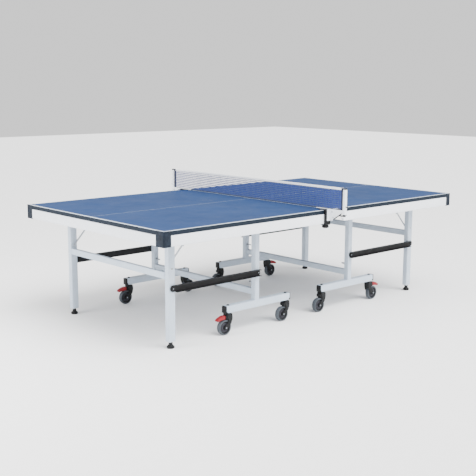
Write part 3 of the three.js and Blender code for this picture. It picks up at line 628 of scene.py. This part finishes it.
def placed(shells, signs, shift=(0, 0, 0)):
    """Shells mirrored by the signs of the three axes and then shifted."""
    return [(points * signs + shift, faces) for points, faces in shells]


def quadrant(shells, half, place):
    """Shells drawn towards +X and +Y, put where a half and a side of the table are."""
    return placed(shells, (HALVES[half], PLACES[place], 1))


def both_sides(shells, half):
    """Shells drawn at +Y and their mirror images at -Y, put where a half is."""
    return quadrant(shells, half, "front") + quadrant(shells, half, "rear")


def joined(name, shells):
    """One mesh, in metres, of all the shells' points and faces."""
    offsets = np.cumsum([0] + [len(points) for points, _ in shells])
    points = np.concatenate([points for points, _ in shells]) * MM
    faces = []
    for (_, groups), first in zip(shells, offsets):
        for group in groups:
            faces += (group + first).tolist()
    mesh = bpy.data.meshes.new(name)
    mesh.from_pydata(points.tolist(), [], faces)
    return mesh


def piece(
    name, body, material, shells, replaces=(), edge=0.0, smooth=35, others=(), rim=-1, steps=2
):
    """One object from closed shells, in metres: normals out, edges rounded and shading split.

    others gives further finishes, each with a test on the array of face normals; rim is the
    number of the finish that the rounded edges take.
    """
    mesh = joined(name, shells)
    work = bmesh.new()
    work.from_mesh(mesh)
    bmesh.ops.recalc_face_normals(work, faces=work.faces)
    work.to_mesh(mesh)
    work.free()
    mesh.materials.append(material)
    normals = np.zeros(len(mesh.polygons) * 3, np.float32)
    mesh.polygons.foreach_get("normal", normals)
    numbers = np.zeros(len(mesh.polygons), np.int32)
    for number, (extra, chosen) in enumerate(others, 1):
        mesh.materials.append(extra)
        numbers[chosen(normals.reshape(-1, 3))] = number
    mesh.polygons.foreach_set("material_index", numbers)
    mesh.shade_smooth()
    mesh.set_sharp_from_angle(angle=math.radians(smooth))
    made = bpy.data.objects.new(name, mesh)
    bpy.context.collection.objects.link(made)
    if edge:
        bevel = made.modifiers.new("edges", "BEVEL")
        bevel.width = edge * MM
        bevel.segments = steps
        bevel.limit_method = "ANGLE"
        bevel.angle_limit = EDGE_ANGLE
        bevel.harden_normals = True
        bevel.material = rim
    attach(made, body)
    if replaces:
        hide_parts(*replaces)
    return made


def top_outline():
    """Plan of a half from the net edge round both corners, stepped in where each cap sits."""
    side_stop = HALF_LENGTH - CAP_REACH - CAP_GAP
    end_stop = -HALF_WIDTH + CAP_END_REACH + CAP_GAP
    radius = CAP_RADIUS - SEAT
    corner = np.concatenate([
        [(side_stop, -HALF_WIDTH), (side_stop, -HALF_WIDTH + SEAT)],
        arc(HALF_LENGTH - SEAT - radius, -HALF_WIDTH + SEAT + radius, radius, -90, 0, 8),
        [(HALF_LENGTH - SEAT, end_stop), (HALF_LENGTH, end_stop)],
    ])
    far = (corner * (1, -1))[::-1]
    return np.concatenate([[(NET_EDGE, -HALF_WIDTH)], corner, far, [(NET_EDGE, HALF_WIDTH)]])


def make_top(half):
    """The board: its plan raised from underside to play height, with a rolled arris."""
    board = quadrant([prism(top_outline(), BOARD_UNDER, PLAY_TOP, "z")], half, "rear")
    finishes = [
        (EDGING, lambda normals: abs(normals[:, 2]) < 0.5),
        (UNDERSIDE, lambda normals: normals[:, 2] < -0.5),
    ]
    piece(
        f"table_top_{half}", f"top_{half}", COATING, board, [f"board_{half}"],
        ARRIS, others=finishes, rim=1, steps=3,
    )


def apron_section():
    """The rolled C section: a line of flange, bend, web, bend, flange and lip, given its thickness.

    The first value is the way inwards from the outer face, the second is the height.
    """
    half_wall = APRON_WALL / 2
    low = APRON_UNDER + half_wall
    top = APRON_TOP - half_wall
    bend = APRON_BEND - half_wall
    line = np.concatenate([
        [(APRON_FLANGE, top)],
        arc(half_wall + bend, top - bend, bend, 90, 180, 5),
        [(half_wall, (low + top) / 2)],
        arc(half_wall + bend, low + bend, bend, 180, 270, 5),
        arc(APRON_FLANGE - 2.5, low + 2.5, 2.5, 270, 360, 4),
        [(APRON_FLANGE, low + APRON_LIP)],
    ])
    return strip(line, APRON_WALL)


def make_apron(half):
    """Three straight runs of the C section and, behind each cap, a bent corner wall.

    At the net the lower edge rises by r - sqrt(r^2 - (r - d)^2), d from the end, into a round nose.
    """
    section = apron_section()
    low, high = node_box(f"apron_{half}")
    start_x = min(abs(low[0]), abs(high[0]))
    side_stop = HALF_LENGTH - CAP_REACH - CAP_GAP
    from_end = APRON_NOSE * (1 - np.cos(np.linspace(0, np.pi / 2, 9)))
    side = rings(section * (-1, 1) + (HALF_WIDTH, 0), np.append(start_x + from_end, side_stop), "x")
    lift = APRON_NOSE - np.sqrt(APRON_NOSE ** 2 - (APRON_NOSE - from_end) ** 2)
    below = side[0, :, 2] < (APRON_UNDER + APRON_TOP) / 2
    side[:, below, 2] += np.append(lift, 0)[:, None]
    end_stop = HALF_WIDTH - CAP_END_REACH - CAP_GAP
    end_run = shell(rings(section * (-1, 1) + (HALF_LENGTH, 0), (-end_stop, end_stop), "y"))
    radius = CAP_RADIUS - SEAT
    x, y = HALF_LENGTH - SEAT, HALF_WIDTH - SEAT
    bend = np.concatenate([
        [(x - CAP_REACH - 12, y - 1), (x - 30, y - 1)],
        arc(x - radius, y - radius, radius - 1, 90, 0, 8),
        [(x - 1, y - 30), (x - 1, y - CAP_END_REACH - 12)],
    ])
    wall = prism(strip(bend, 2), APRON_UNDER + 3, APRON_TOP - 0.5, "z")
    shells = both_sides([shell(side), wall], half) + quadrant([end_run], half, "rear")
    piece(f"apron_steel_{half}", f"top_{half}", APRON_COAT, shells, [f"apron_{half}"], smooth=40)


def make_corner(half, place):
    """A moulded cap: an angle with a round nose, a floor lip under the apron and two screws."""
    x, y = HALF_LENGTH, HALF_WIDTH
    centre = (x - CAP_RADIUS, y - CAP_RADIUS)
    side_end, end_end = x - CAP_REACH, y - CAP_END_REACH
    outer = np.concatenate([[(side_end, y)], arc(*centre, CAP_RADIUS, 90, 0, 12), [(x, end_end)]])
    inner = np.concatenate([
        [(x - CAP_WALL, end_end)],
        arc(*centre, CAP_RADIUS - CAP_WALL, 0, 90, 12),
        [(side_end, y - CAP_WALL)],
    ])
    wall = prism(np.concatenate([outer, inner]), CAP_UNDER, PLAY_TOP, "z")
    floor_edge = [(x - 20, end_end), (side_end, y - 20)]
    lip = prism(np.concatenate([outer - (0.6, 0.6), floor_edge]), CAP_UNDER, CAP_UNDER + 1.6, "z")
    cap = quadrant([wall, lip], half, place)
    label = f"{half}_{place}"
    body = f"top_{half}"
    replaced = [f"corner_cap_{label}"]
    piece(f"corner_moulding_{label}", body, SLATE, cap, replaced, 1.3, steps=3)
    height = (CAP_UNDER + APRON_TOP) / 2
    screws = [
        pan_head((side_end + 14, y - 0.4, height), "y", 3, 1.2),
        pan_head((x - 0.4, end_end + 14, height), "x", 3, 1.2),
    ]
    piece(f"corner_screws_{label}", body, BLACK, quadrant(screws, half, place))


def upright(x, width, z_range):
    """A rounded box tube standing at x in the line of the legs."""
    low, high = (x - width / 2, UPRIGHT_INNER), (x + width / 2, UPRIGHT_OUTER)
    return prism(rounded(low, high, TUBE_ROUND), *z_range, "z")


def crossbar(x_range, z_range):
    """A rounded box tube across the table from one upright to the other."""
    outline = rounded((x_range[0], z_range[0]), (x_range[1], z_range[1]), BAR_ROUND)
    return prism(outline, -UPRIGHT_INNER - 1, UPRIGHT_INNER + 1, "y")


def weld(x_range, z_range, y):
    """A weld bead: a rope of round section carried round a rectangle, a little uneven along it."""
    path = rounded((x_range[0] - 0.6, z_range[0] - 0.6), (x_range[1] + 0.6, z_range[1] + 0.6), 4, 10)
    bead = WELD_BEAD + WELD_UNEVEN * np.sin(np.arange(len(path)) * 1.9)
    middle = path.mean(0)
    out = (path - middle) / np.linalg.norm(path - middle, axis=1)[:, None]
    angle = np.linspace(0, 2 * np.pi, 8, endpoint=False)
    flat = path[:, None] + out[:, None] * (bead[:, None] * np.cos(angle))[..., None]
    away = y + bead[:, None] * np.sin(angle)
    return shell(np.stack([flat[..., 0], away, flat[..., 1]], -1), loop=True)


def arch(half, tube, x_range, z_range):
    """An upright on each side and the crossbar between them, with a weld bead at each joint."""
    bead = weld(x_range, z_range, UPRIGHT_INNER + WELD_STAND)
    return both_sides([tube, bead], half) + quadrant([crossbar(x_range, z_range)], half, "rear")


def plug(x, width, depth, low, high):
    """A plug in the end of an upright."""
    reach = np.array((width / 2, depth / 2))
    return prism(rounded((x, FRAME_Y) - reach, (x, FRAME_Y) + reach, 5), low, high, "z")


def upright_pins(x):
    """The link bar's pin, spacer and bright centre, and the pin and nut on which the half tilts."""
    tilt = (x, RAIL_INNER - 1, PIVOT_Z)
    return [
        turned(rod(LINK_PIN, 0, LINK_HEAD - UPRIGHT_OUTER + 0.3), (x, UPRIGHT_OUTER, LINK_Z), "y", 16),
        turned(rod(8.5, 0, LINK_Y - UPRIGHT_OUTER - 0.5), (x, UPRIGHT_OUTER - 0.2, LINK_Z), "y", 24),
        turned([(0, 0), (3.2, 0), (3.2, 5.4), (0, 5.8)], (x, LINK_HEAD, LINK_Z), "y", 16),
        turned(rod(PIVOT_RADIUS, 0, UPRIGHT_INNER - RAIL_INNER + 1), tilt, "y", 20),
    ] + hex_head(tilt, "y", 9, 5, -1)


def make_legs(half):
    """Two box legs and their crossbar, with plugs, bushes, pins and pin caps."""
    body = f"legs_{half}"
    brace_z = BRACE_LOW[1]
    shells = arch(half, upright(LEG_X, LEG_WIDTH, LEG_Z), LEG_BAR_X, LEG_BAR_Z)
    piece(f"leg_tubes_{half}", body, TUBE_COAT, shells, [f"leg_frame_{half}"], 0.6)
    inner_face = LEG_X - LEG_WIDTH / 2 - 1.1
    plugs = [
        plug(LEG_X, 47, 37, LEG_Z[0] - 3, LEG_Z[0] + 6),
        plug(LEG_X, 48, 38, LEG_Z[1] - 4, LEG_Z[1] + 2.5),
        turned_ring([(4.6, 0), (8, 0), (8, 1.4), (4.6, 1.4)], (LEG_X, UPRIGHT_OUTER - 0.1, brace_z), "y"),
        turned_ring([(4.6, 0), (8, 0), (8, 1.2), (4.6, 1.2)], (inner_face, FRAME_Y, 640), "x"),
    ]
    piece(f"leg_plugs_{half}", body, PALE, both_sides(plugs, half), edge=1.2)
    # painted shade: a thin black disc inside the pale bush stands for the dark inside of the brace bolt's
    # hole
    hole_shade_discs = [turned(rod(4.8, 0, 0.8), (LEG_X, UPRIGHT_OUTER - 0.2, brace_z), "y", 20)]
    piece(f"leg_bolt_hole_shade_{half}", body, BLACK, both_sides(hole_shade_discs, half))
    caps = [pan_head((LEG_X, LINK_HEAD, LINK_Z), "y", 7, 5)]
    piece(f"leg_pin_caps_{half}", body, BLACK, both_sides(caps, half))
    reach = UPRIGHT_INNER - BRACE_Y[0] + 1
    brace_pin = turned(rod(BRACE_PIN, 0, reach), (LEG_X, BRACE_Y[0] - SLEEVE_WALL, brace_z), "y", 16)
    pins = upright_pins(LEG_X) + [brace_pin]
    piece(f"leg_pins_{half}", body, ZINC, both_sides(pins, half))


def make_trolley(half):
    """Two box posts and their crossbar on the wheel beams, with plugs, pins and latch pegs."""
    body = f"trolley_{half}"
    shells = arch(half, upright(POST_X, POST_WIDTH, POST_Z), TROLLEY_BAR_X, TROLLEY_BAR_Z)
    piece(f"trolley_tubes_{half}", body, TUBE_COAT, shells, [f"trolley_arch_{half}"], 0.6)
    cap = plug(POST_X, 38, 38, POST_Z[1] - 4, POST_Z[1] + 2.5)
    pin_cap = pan_head((POST_X, LINK_HEAD, LINK_Z), "y", 7, 5)
    plugs = both_sides([cap, pin_cap], half)
    piece(f"trolley_plugs_{half}", body, BLACK, plugs, edge=0.8)
    peg = [(0, 0), (4, 0), (5, 1), (5, 38.5), (0, 38.5)]
    pins = upright_pins(POST_X) + [
        turned(peg, (POST_X, UPRIGHT_INNER - 37.5, LATCH_Z), "y", 20),
        turned(rod(9, 0, 3), (POST_X, UPRIGHT_INNER - 3, LATCH_Z), "y", 24),
    ]
    piece(f"trolley_pins_{half}", body, ZINC, both_sides(pins, half))


def beam_outline():
    """Side view of a wheel beam: a bar whose lower corners are cut at forty-five degrees."""
    (x0, x1), (z0, z1), c = BEAM_X, BEAM_Z, BEAM_CHAMFER
    return np.array([(x0 + c, z0), (x1 - c, z0), (x1, z0 + c), (x1, z1), (x0, z1), (x0, z0 + c)])


def make_beam(half, place):
    """A wheel beam with an end plug at each end and a rubber buffer on the outer one."""
    body = f"trolley_{half}"
    low, high = FRAME_Y - BEAM_WIDTH / 2, FRAME_Y + BEAM_WIDTH / 2
    beam = prism(beam_outline(), low, high, "y")
    collar = weld((POST_X - 20, POST_X + 20), (FRAME_Y - 20, FRAME_Y + 20), 0)
    bead = (collar[0][:, [0, 2, 1]] + (0, 0, BEAM_Z[1] + 0.3), collar[1])
    shells = quadrant([beam, bead], half, place)
    label = f"{half}_{place}"
    piece(f"wheel_tube_{label}", body, TUBE_COAT, shells, [f"wheel_beam_{label}"], 3.2, steps=4)
    end_face = rounded((low + 0.6, BEAM_Z[0] - 1), (high - 0.6, BEAM_Z[1] + 0.8), 4)
    outer_stop = BEAM_X[1] + np.array((-4, 8, 12))
    inner_stop = BEAM_X[0] + np.array((-9, -5, 4))
    stops = [
        shell(rings(end_face, outer_stop, "x", (0.9, 1, 0.86))),
        shell(rings(end_face, inner_stop, "x", (0.86, 1, 0.9))),
    ]
    stops = quadrant(stops, half, place)
    piece(f"beam_buffers_{label}", body, BLACK, stops, edge=1.5)
    nuts = []
    for x in (BEAM_X[1] - 24, BEAM_X[0] + 24):
        nuts += hex_head((x, FRAME_Y, BEAM_Z[1]), "z", 8, 6)
    piece(f"stem_nuts_{label}", body, BLACK, quadrant(nuts, half, place))


def make_link(half, place):
    """A channel bar: a web plate with round ends, and two flanges that meet it in small bends."""
    z0, z1 = LINK_Z - LINK_DEPTH / 2, LINK_Z + LINK_DEPTH / 2
    radius = LINK_DEPTH / 2
    mid = LINK_WALL / 2
    bend = 3.5
    line = np.concatenate([
        [(LINK_Y + LINK_FLANGE, z1 - mid)],
        arc(LINK_Y + mid + bend, z1 - mid - bend, bend, 90, 180, 4),
        arc(LINK_Y + mid + bend, z0 + mid + bend, bend, 180, 270, 4),
        [(LINK_Y + LINK_FLANGE, z0 + mid)],
    ])
    channel = shell(rings(strip(line, LINK_WALL), LINK_FLANGE_X, "x"))
    ends = rounded((LINK_X[0], z0 + 0.4), (LINK_X[1], z1 - 0.4), radius - 2, 10)
    web = prism(ends, LINK_Y + 0.02, LINK_Y + LINK_WALL - 0.02, "y")
    shells = quadrant([channel, web], half, place)
    label = f"{half}_{place}"
    replaced = [f"link_bar_{label}"]
    piece(f"link_channel_{label}", f"link_bars_{half}", BLACK_COAT, shells, replaced, 0.5)


def lengthwise(outline, start, end):
    """Turns an outline drawn along its first value, from nought, onto the line from start to end."""
    along = (end - start) / np.linalg.norm(end - start)
    square = np.array((-along[1], along[0]))
    return start + outline[:, :1] * along + outline[:, 1:] * square


def make_brace(half, place):
    """A flat strip with an eye at each end, and a folded sleeve round its upper stretch."""
    low, high = np.array(BRACE_LOW), np.array(BRACE_HIGH)
    length = np.linalg.norm(high - low)
    lean = math.degrees(math.asin(BRACE_WIDTH / 2 / BRACE_EYE))
    bar = np.concatenate([
        arc(0, 0, BRACE_EYE, lean, 360 - lean, 18),
        arc(length, 0, BRACE_EYE, 180 + lean, 540 - lean, 18),
    ])
    flat = prism(lengthwise(bar, low, high), *BRACE_Y, "y")
    half_width = BRACE_SLEEVE_WIDTH / 2
    fold = rounded((length * BRACE_SLEEVE_FROM, -half_width), (length + 6, half_width), 3)
    sleeve = prism(lengthwise(fold, low, high), BRACE_Y[0] - SLEEVE_WALL, BRACE_Y[1] + SLEEVE_WALL, "y")
    label = f"{half}_{place}"
    body = f"braces_{half}"
    strips = quadrant([flat, sleeve], half, place)
    piece(f"brace_strip_{label}", body, BRACE_STEEL, strips, [f"brace_{label}"], 0.8)
    rivet_x, rivet_z = low + (high - low) * BRACE_RIVET_AT
    rivets = [
        pan_head((rivet_x, BRACE_Y[1] + 0.7, rivet_z), "y", 4, 0.9),
        pan_head((high[0], BRACE_Y[1] + 0.7, high[1]), "y", 4.5, 0.9),
    ]
    piece(f"brace_rivets_{label}", body, ZINC, quadrant(rivets, half, place))


def make_foot(half, place):
    """A levelling foot: a round pad, its collar, a stem with a turned thread and a lock nut."""
    bend = np.radians(np.linspace(-90, 90, 9))
    rim = np.stack([18.6 + 6 * np.cos(bend), 8 + 8 * np.sin(bend)], 1)
    pad = np.concatenate([[(0, 0)], rim, [(16, 19.5), (14.5, 23), (12.5, 28), (12.5, 31), (0, 31)]])
    nut = [(0, 30.8), (13.5, 30.8), (13.5, 40.2), (12, 41.6), (0, 41.6)]
    axis = (LEG_X, FRAME_Y, 0)
    foot = [turned(pad, axis, "z", 40), turned(nut, axis, "z", 24, hexagon)]
    label = f"{half}_{place}"
    body = f"foot_{label}"
    foot = quadrant(foot, half, place)
    piece(f"foot_pad_{label}", body, BLACK, foot, [body], smooth=50)
    levels = np.arange(29, 80, 0.75)
    radii = 4.9 - 0.5 * (np.arange(len(levels)) % 2)
    thread = np.concatenate([[(0, 29)], np.stack([radii, levels], 1), [(0, 80)]])
    stem = turned(thread, axis, "z", 18)
    piece(f"foot_stem_{label}", body, ZINC, quadrant([stem], half, place), smooth=25)


def castor_place(label):
    """Swivel axis and the way the wheel trails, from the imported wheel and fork."""
    low, high = node_box(f"castor_wheel_{label}")
    centre = (low + high) / 2
    fork_low, fork_high = node_box(f"castor_fork_{label}")
    trail = 1 if centre[0] > (fork_low[0] + fork_high[0]) / 2 else -1
    return np.array((centre[0] - trail * TRAIL, centre[1], 0)), trail


def fork_arm():
    """Side view of a fork arm: a band that sweeps forward from the neck and back to a round eye."""
    eye = arc(TRAIL, WHEEL_RADIUS, FORK_EYE, 228, 408, 18)
    front = [(-19, FORK_TOP - 2), (-22, 126), (-23.5, 110), (-21, 94), (-14, 76), (-3, 60), (10, 47)]
    back = [(30, 68), (20, 78), (13, 88), (11, 98), (14, 108), (19, 118), (21, FORK_TOP - 2)]
    return np.concatenate([np.array(front, float), eye[1:-1], np.array(back, float)])


def make_castor(half, place, position):
    """Fork with hood, swivel bearing and axle bolt; tyre, rim and disc on the wheel."""
    label = f"{half}_{place}_{position}"
    swivel, trail = castor_place(label)
    body = f"castor_{label}"
    arms = [prism(fork_arm(), side * FORK_INNER, side * FORK_OUTER, "y") for side in (-1, 1)]
    under = arc(TRAIL, WHEEL_RADIUS, HOOD_RADIUS, 95, 142, 10)
    hood_front = [(-20, 92), (-22.5, 110), (-21, 126), (-18, FORK_TOP)]
    hood_back = [(20, FORK_TOP), (20, 127), (29, 124), (29, 107)]
    hood = prism(np.concatenate([hood_back, under, hood_front]), -FORK_INNER - 1, FORK_INNER + 1, "y")
    crown = turned([(0, -3), (20, -3), (20, 0), (17, 1.2), (0, 1.2)], (0, 0, FORK_TOP), "z", 36)
    hub = [(0, 0), (9.5, 0), (8.5, 2.6), (0, 2.6)]
    hubs = [turned(hub, (TRAIL, FORK_OUTER - 0.1, WHEEL_RADIUS), "y", 28)]
    hubs += placed(hubs, (1, -1, 1))
    fork = placed(arms + [hood, crown] + hubs, (trail, 1, 1), swivel)
    piece(f"fork_{label}", body, BLACK, fork, [f"castor_fork_{label}"], 1.2, steps=3)
    race = [(0, 1), (15, 1), (16.5, 2.2), (15, 3.8), (0, 3.8)]
    bearing = turned(race, (0, 0, FORK_TOP), "z", 36)
    axle = []
    for side in (-1, 1):
        axle += hex_head((TRAIL, side * (FORK_OUTER + 2.2), WHEEL_RADIUS), "y", 4.2, 2.6, side)
    metal = placed([bearing] + axle, (trail, 1, 1), swivel)
    piece(f"castor_metal_{label}", body, ZINC, metal)
    make_wheel(label, swivel + (trail * TRAIL, 0, 0))
    if position == "outer":
        make_lever(label, swivel, trail)


def make_wheel(label, centre):
    """A wheel turned about its axle: a crowned tread, a dished rim and a pressed cover disc."""
    body = f"wheel_{label}"
    middle = centre + (0, 0, WHEEL_RADIUS)
    bend = np.radians(np.linspace(-90, 90, 17))
    crown = np.stack([WHEEL_RADIUS - 5 + 5 * np.cos(bend) ** 0.7, TYRE_HALF * np.sin(bend)], 1)
    seat = [(RIM_RADIUS, TYRE_HALF - 1), (RIM_RADIUS - 1, 0), (RIM_RADIUS, -TYRE_HALF + 1)]
    tread = np.concatenate([crown, seat])
    tyre = turned_ring(tread, middle, "y", 64)
    piece(f"tyre_{label}", body, TYRE, [tyre], [f"castor_wheel_{label}"], smooth=50)
    half_rim = np.array([
        (5.6, HUB_HALF), (11, HUB_HALF), (13, HUB_HALF - 1.5), (15, 9),
        (30, 7.5), (33.5, 13), (39.5, 14.6), (40.6, 12),
    ])
    rim = turned_ring(np.concatenate([half_rim, (half_rim * (1, -1))[::-1]]), middle, "y", 48)
    piece(f"rim_{label}", body, BLACK, [rim], smooth=30)
    discs = []
    cover = [(13.5, 9.2), (16, 10.6), (22, 11.2), (28, 10.6), (30.5, 8.5), (29, 7.6), (14, 8.2)]
    rib = rounded((15, -1.3), (29, 1.3), 1.2, 2)
    for side in (-1, 1):
        discs.append(turned_ring(np.array(cover) * (1, side), middle, "y", 48))
        for spin in np.arange(DISC_RIBS) * 2 * np.pi / DISC_RIBS:
            across = lengthwise(rib, middle[[0, 2]], middle[[0, 2]] + (np.cos(spin), np.sin(spin)))
            discs.append(prism(across, middle[1] + side * 9, middle[1] + side * 12.4, "y"))
    piece(f"wheel_disc_{label}", body, DISC, discs, smooth=40)


def make_lever(label, swivel, trail):
    """A foot pedal: a wedge that swells to its tip, with treads across its upper face."""
    body = f"brake_{label}"
    under = [(31, 104), (60, 102), (84, 97.5), (93, 96.5), (97, 99)]
    over = [(97, 106), (90, 112), (74, 119), (58, 125), (44, 127), (31, 127)]
    outline = np.array(under + over, float)
    wedge = prism(outline, -PEDAL_HALF, PEDAL_HALF, "y")
    treads = []
    for x in (58, 66, 74, 82):
        height = np.interp(x, (44, 58, 74, 90), (127, 125, 119, 112))
        bar = rounded((x - 1.6, height - 2), (x + 1.6, height + 1.8), 1.4, 3)
        treads.append(prism(bar, -TREAD_HALF, TREAD_HALF, "y"))
    pedal = placed([wedge] + treads, (trail, 1, 1), swivel)
    piece(f"pedal_{label}", body, RED, pedal, [f"brake_lever_{label}"], 1.6, steps=3)


def make_net():
    """The net: a sheet whose height is even and whose surface waves very slightly between posts.

    x is 0.5 mm times the sine of five turns along the net, fading to nought at tape and cord.
    """
    columns, rows, margin = 120, 13, 2
    y = np.linspace(-NET_HALF, NET_HALF, columns)[:, None]
    v = np.linspace(0, 1, rows)[None]
    z = NET_Z[0] + margin + (NET_Z[1] - NET_Z[0] - 2 * margin) * v + 0 * y
    x = 0.5 * np.sin(y / NET_HALF * 5 * np.pi) * np.sin(np.pi * v)
    points = np.stack([x, y + 0 * v, z], -1).reshape(-1, 3)
    index = np.arange(columns * rows).reshape(columns, rows)
    quads = np.stack([index[:-1, :-1], index[1:, :-1], index[1:, 1:], index[:-1, 1:]], -1).reshape(-1, 4)
    mesh = bpy.data.meshes.new("net_mesh")
    mesh.from_pydata((points * MM).tolist(), [], quads.tolist())
    layer = mesh.uv_layers.new(name="cloth")
    corners = np.zeros(len(mesh.loops), np.int32)
    mesh.loops.foreach_get("vertex_index", corners)
    layer.data.foreach_set("uv", (points[corners][:, 1:] * MM).astype(np.float32).ravel())
    mesh.materials.append(MESH)
    mesh.shade_smooth()
    sheet = bpy.data.objects.new("net_mesh", mesh)
    bpy.context.collection.objects.link(sheet)
    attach(sheet, "top_a")
    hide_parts("net")
    tape_line = rounded((-1.5, NET_Z[1] - TAPE_HEIGHT), (1.5, NET_Z[1]), 1.4, 4)
    tape_grid = rings(tape_line, np.linspace(-NET_HALF + 1, NET_HALF - 1, 60), "y")
    tape = piece("net_tape", "top_a", TAPE, [shell(tape_grid)], smooth=60)
    hem_line = rounded((-1.3, NET_Z[0] + 2), (1.3, NET_Z[0] + 8), 1.2, 4)
    sleeve_line = rounded((-1.7, NET_Z[0] + 0.5), (1.7, NET_Z[1] - 0.5), 1.5, 4)
    ends = [prism(sleeve_line, s * (NET_HALF - SLEEVE_WIDTH), s * NET_HALF, "y") for s in (-1, 1)]
    half_reach = NET_HALF - 2
    foot = prism(hem_line, -half_reach, half_reach, "y")
    hem = piece("net_hem", "top_a", NAVY, [foot] + ends, smooth=60)
    cord_line = turned(rod(1.2, -half_reach, half_reach), (0, 0, NET_Z[0] + 1.2), "y", 12)
    cord = piece("net_foot_cord", "top_a", CORD, [cord_line], smooth=60)


def make_net_post(place):
    """A square post with its cap and cord hook, the arm plate, and the shelf on the clamp."""
    inner = NET_POST_INNER
    outer = inner + NET_POST_SIZE
    half_post = NET_POST_SIZE / 2
    section = rounded((-half_post, inner), (half_post, outer), 2.5)
    tube = prism(section, NET_POST_Z[0] + 1, NET_POST_Z[1] - 6, "z")
    toe_z, crown_z = SHELF_TOP - 77.9, SHELF_TOP - 0.1
    heel = [(CLAMP_FACE + 0.2, toe_z), (CLAMP_FACE + 0.2, crown_z), (inner + 1, crown_z)]
    slope = [(inner + 1, SHELF_TOP - 12), (inner - 75, SHELF_TOP - 65), (788, toe_z)]
    arm = prism(heel + slope, -7, -4, "x")
    shelf = prism(rounded((-26, SHELF_START), (-4, 778.8), 5), SHELF_TOP - 3, SHELF_TOP, "z")
    upstand = prism(rounded((-26, SHELF_START + 1), (-23.5, 776), 1), SHELF_TOP - 3, SHELF_TOP + 3.4, "z")
    cover = prism(rounded((-40, 690), (-4.2, SHELF_TOP - 1), 4), CLAMP_FACE, CLAMP_FACE + 3, "y")
    side = (1, PLACES[place], 1)
    steel = placed([tube, arm, shelf, upstand, cover], side)
    piece(f"net_post_tube_{place}", "top_a", APRON_COAT, steel, [f"net_post_{place}"], 0.7)
    rim = rounded((-half_post - 0.6, inner - 0.2), (half_post + 0.6, outer + 0.4), 3)
    cap = shell(rings(rim, (NET_POST_Z[1] - 6, NET_POST_Z[1] + 0.5, NET_POST_Z[1] + 2), "z", (1, 1, 0.86)))
    toe = prism(rim, NET_POST_Z[0], NET_POST_Z[0] + 5, "z")
    hook = turned([(0, 0), (3.5, 0), (3.5, 8), (5, 8.5), (5, 10.5), (0, 11)], (0, outer, 790), "y", 20)
    # A black strip along the arm plate's lower sloped edge: partly a black rubber strap, partly a painted
    # shadow of the plate's edge.
    strap_and_shadow_line = [(inner - 80, 694), (inner - 8, 741), (inner - 8, 749), (inner - 80, 702)]
    strap_and_shadow = prism(strap_and_shadow_line, -9.2, -7.1, "x")
    rest = prism(rounded((-9, inner - 36), (9, outer - 4), 4), 726, 731.5, "z")
    stay = turned(rod(4, 726, 737), (0, inner + half_post, 0), "z", 20)
    black = placed([cap, toe, hook, strap_and_shadow, rest, stay], side)
    piece(f"net_post_cap_{place}", "top_a", BLACK, black, edge=0.8)
    screws = [pan_head((-14, y, SHELF_TOP - 0.1), "z", 3.6, 2) for y in (684, 735)]
    screws += [pan_head((-7, y, z), "x", 3.2, 1.8, -1) for y, z in ((790, 748), (800, 712))]
    piece(f"net_post_screws_{place}", "top_a", ZINC, placed(screws, side))


def make_clamp(place):
    """A cast C clamp with a knob below: the C is an outline with its inside corners filled."""
    outline = np.concatenate([
        [(714.5, 760.4), (763.5, 760.4), (763.5, 670)],
        [(763.5, 667), (734.5, 667), (734.5, 661)],
        arc(768.5, 668, 7, 270, 360, 6),
        [(775.5, 757)],
        arc(769.5, 757.3, 6, 0, 90, 6),
        [(714.5, 763.3)],
    ])
    casting = prism(outline, -54, -4, "x")
    ribs = [prism(rounded((775, 666), (778, 686), 1.4, 3), x - 2, x + 2, "x") for x in (-44, -29, -14)]
    shells = placed([casting] + ribs, (1, PLACES[place], 1))
    replaced = [f"net_clamp_{place}"]
    piece(f"clamp_casting_{place}", "top_a", BLACK, shells, replaced, 1.2, steps=3)
    centre = (-29, 754 * PLACES[place], 0)
    bend = np.radians(np.linspace(-90, 90, 7))
    side_round = np.stack([19.5 + 3.5 * np.cos(bend), 650.5 + 8.5 * np.sin(bend)], 1)
    knob_line = np.concatenate([[(0, 640.7), (16, 640.7)], side_round, [(13, 660.2), (0, 660.2)]])
    knob = turned(knob_line, centre, "z", 64, lobes(8, 0.12))
    name = f"clamp_knob_{place}"
    piece(f"clamp_grip_{place}", name, BLACK, [knob], [name], smooth=50)
    screw_line = [(0, 660), (3.9, 660), (3.9, 668.4), (3.2, 669.6), (0, 669.6)]
    metal = [turned(screw_line, centre, "z", 20), turned(rod(9, 640.75, 641.2), centre, "z", 24)]
    piece(f"clamp_screw_{place}", name, ZINC, metal)


def make_frame_screws(half):
    """Pan-head screws that hold rails and apron to the board, seen from below."""
    heads = []
    for x in (60, 250, 600, 820, 1060, 1300):
        heads.append(pan_head((x, RAIL_INNER + 14, APRON_TOP - 2.2), "z", 3.4, 2, -1))
    for x in (200, 520, 840, 1160):
        heads.append(pan_head((x, HALF_WIDTH - 11, APRON_TOP - 2), "z", 3.2, 2, -1))
    piece(f"frame_screws_{half}", f"top_{half}", ZINC, both_sides(heads, half))


set_camera()
set_studio()
for half in HALVES:
    make_top(half)
    make_apron(half)
    make_legs(half)
    make_trolley(half)
    make_frame_screws(half)
    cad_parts[f"under_frame_{half}"].material_slots[0].material = FRAME_COAT
    for place in PLACES:
        make_corner(half, place)
        make_beam(half, place)
        make_link(half, place)
        make_brace(half, place)
        make_foot(half, place)
        for position in ("outer", "inner"):
            make_castor(half, place, position)
make_net()
for place in PLACES:
    make_net_post(place)
    make_clamp(place)

FLOOR_SIDE = 40
bpy.ops.mesh.primitive_grid_add(x_subdivisions=2, y_subdivisions=2, size=FLOOR_SIDE)
floor = bpy.context.object
floor.name = "studio_floor"
floor.data.materials.append(studio_floor())

bpy.context.view_layer.update()
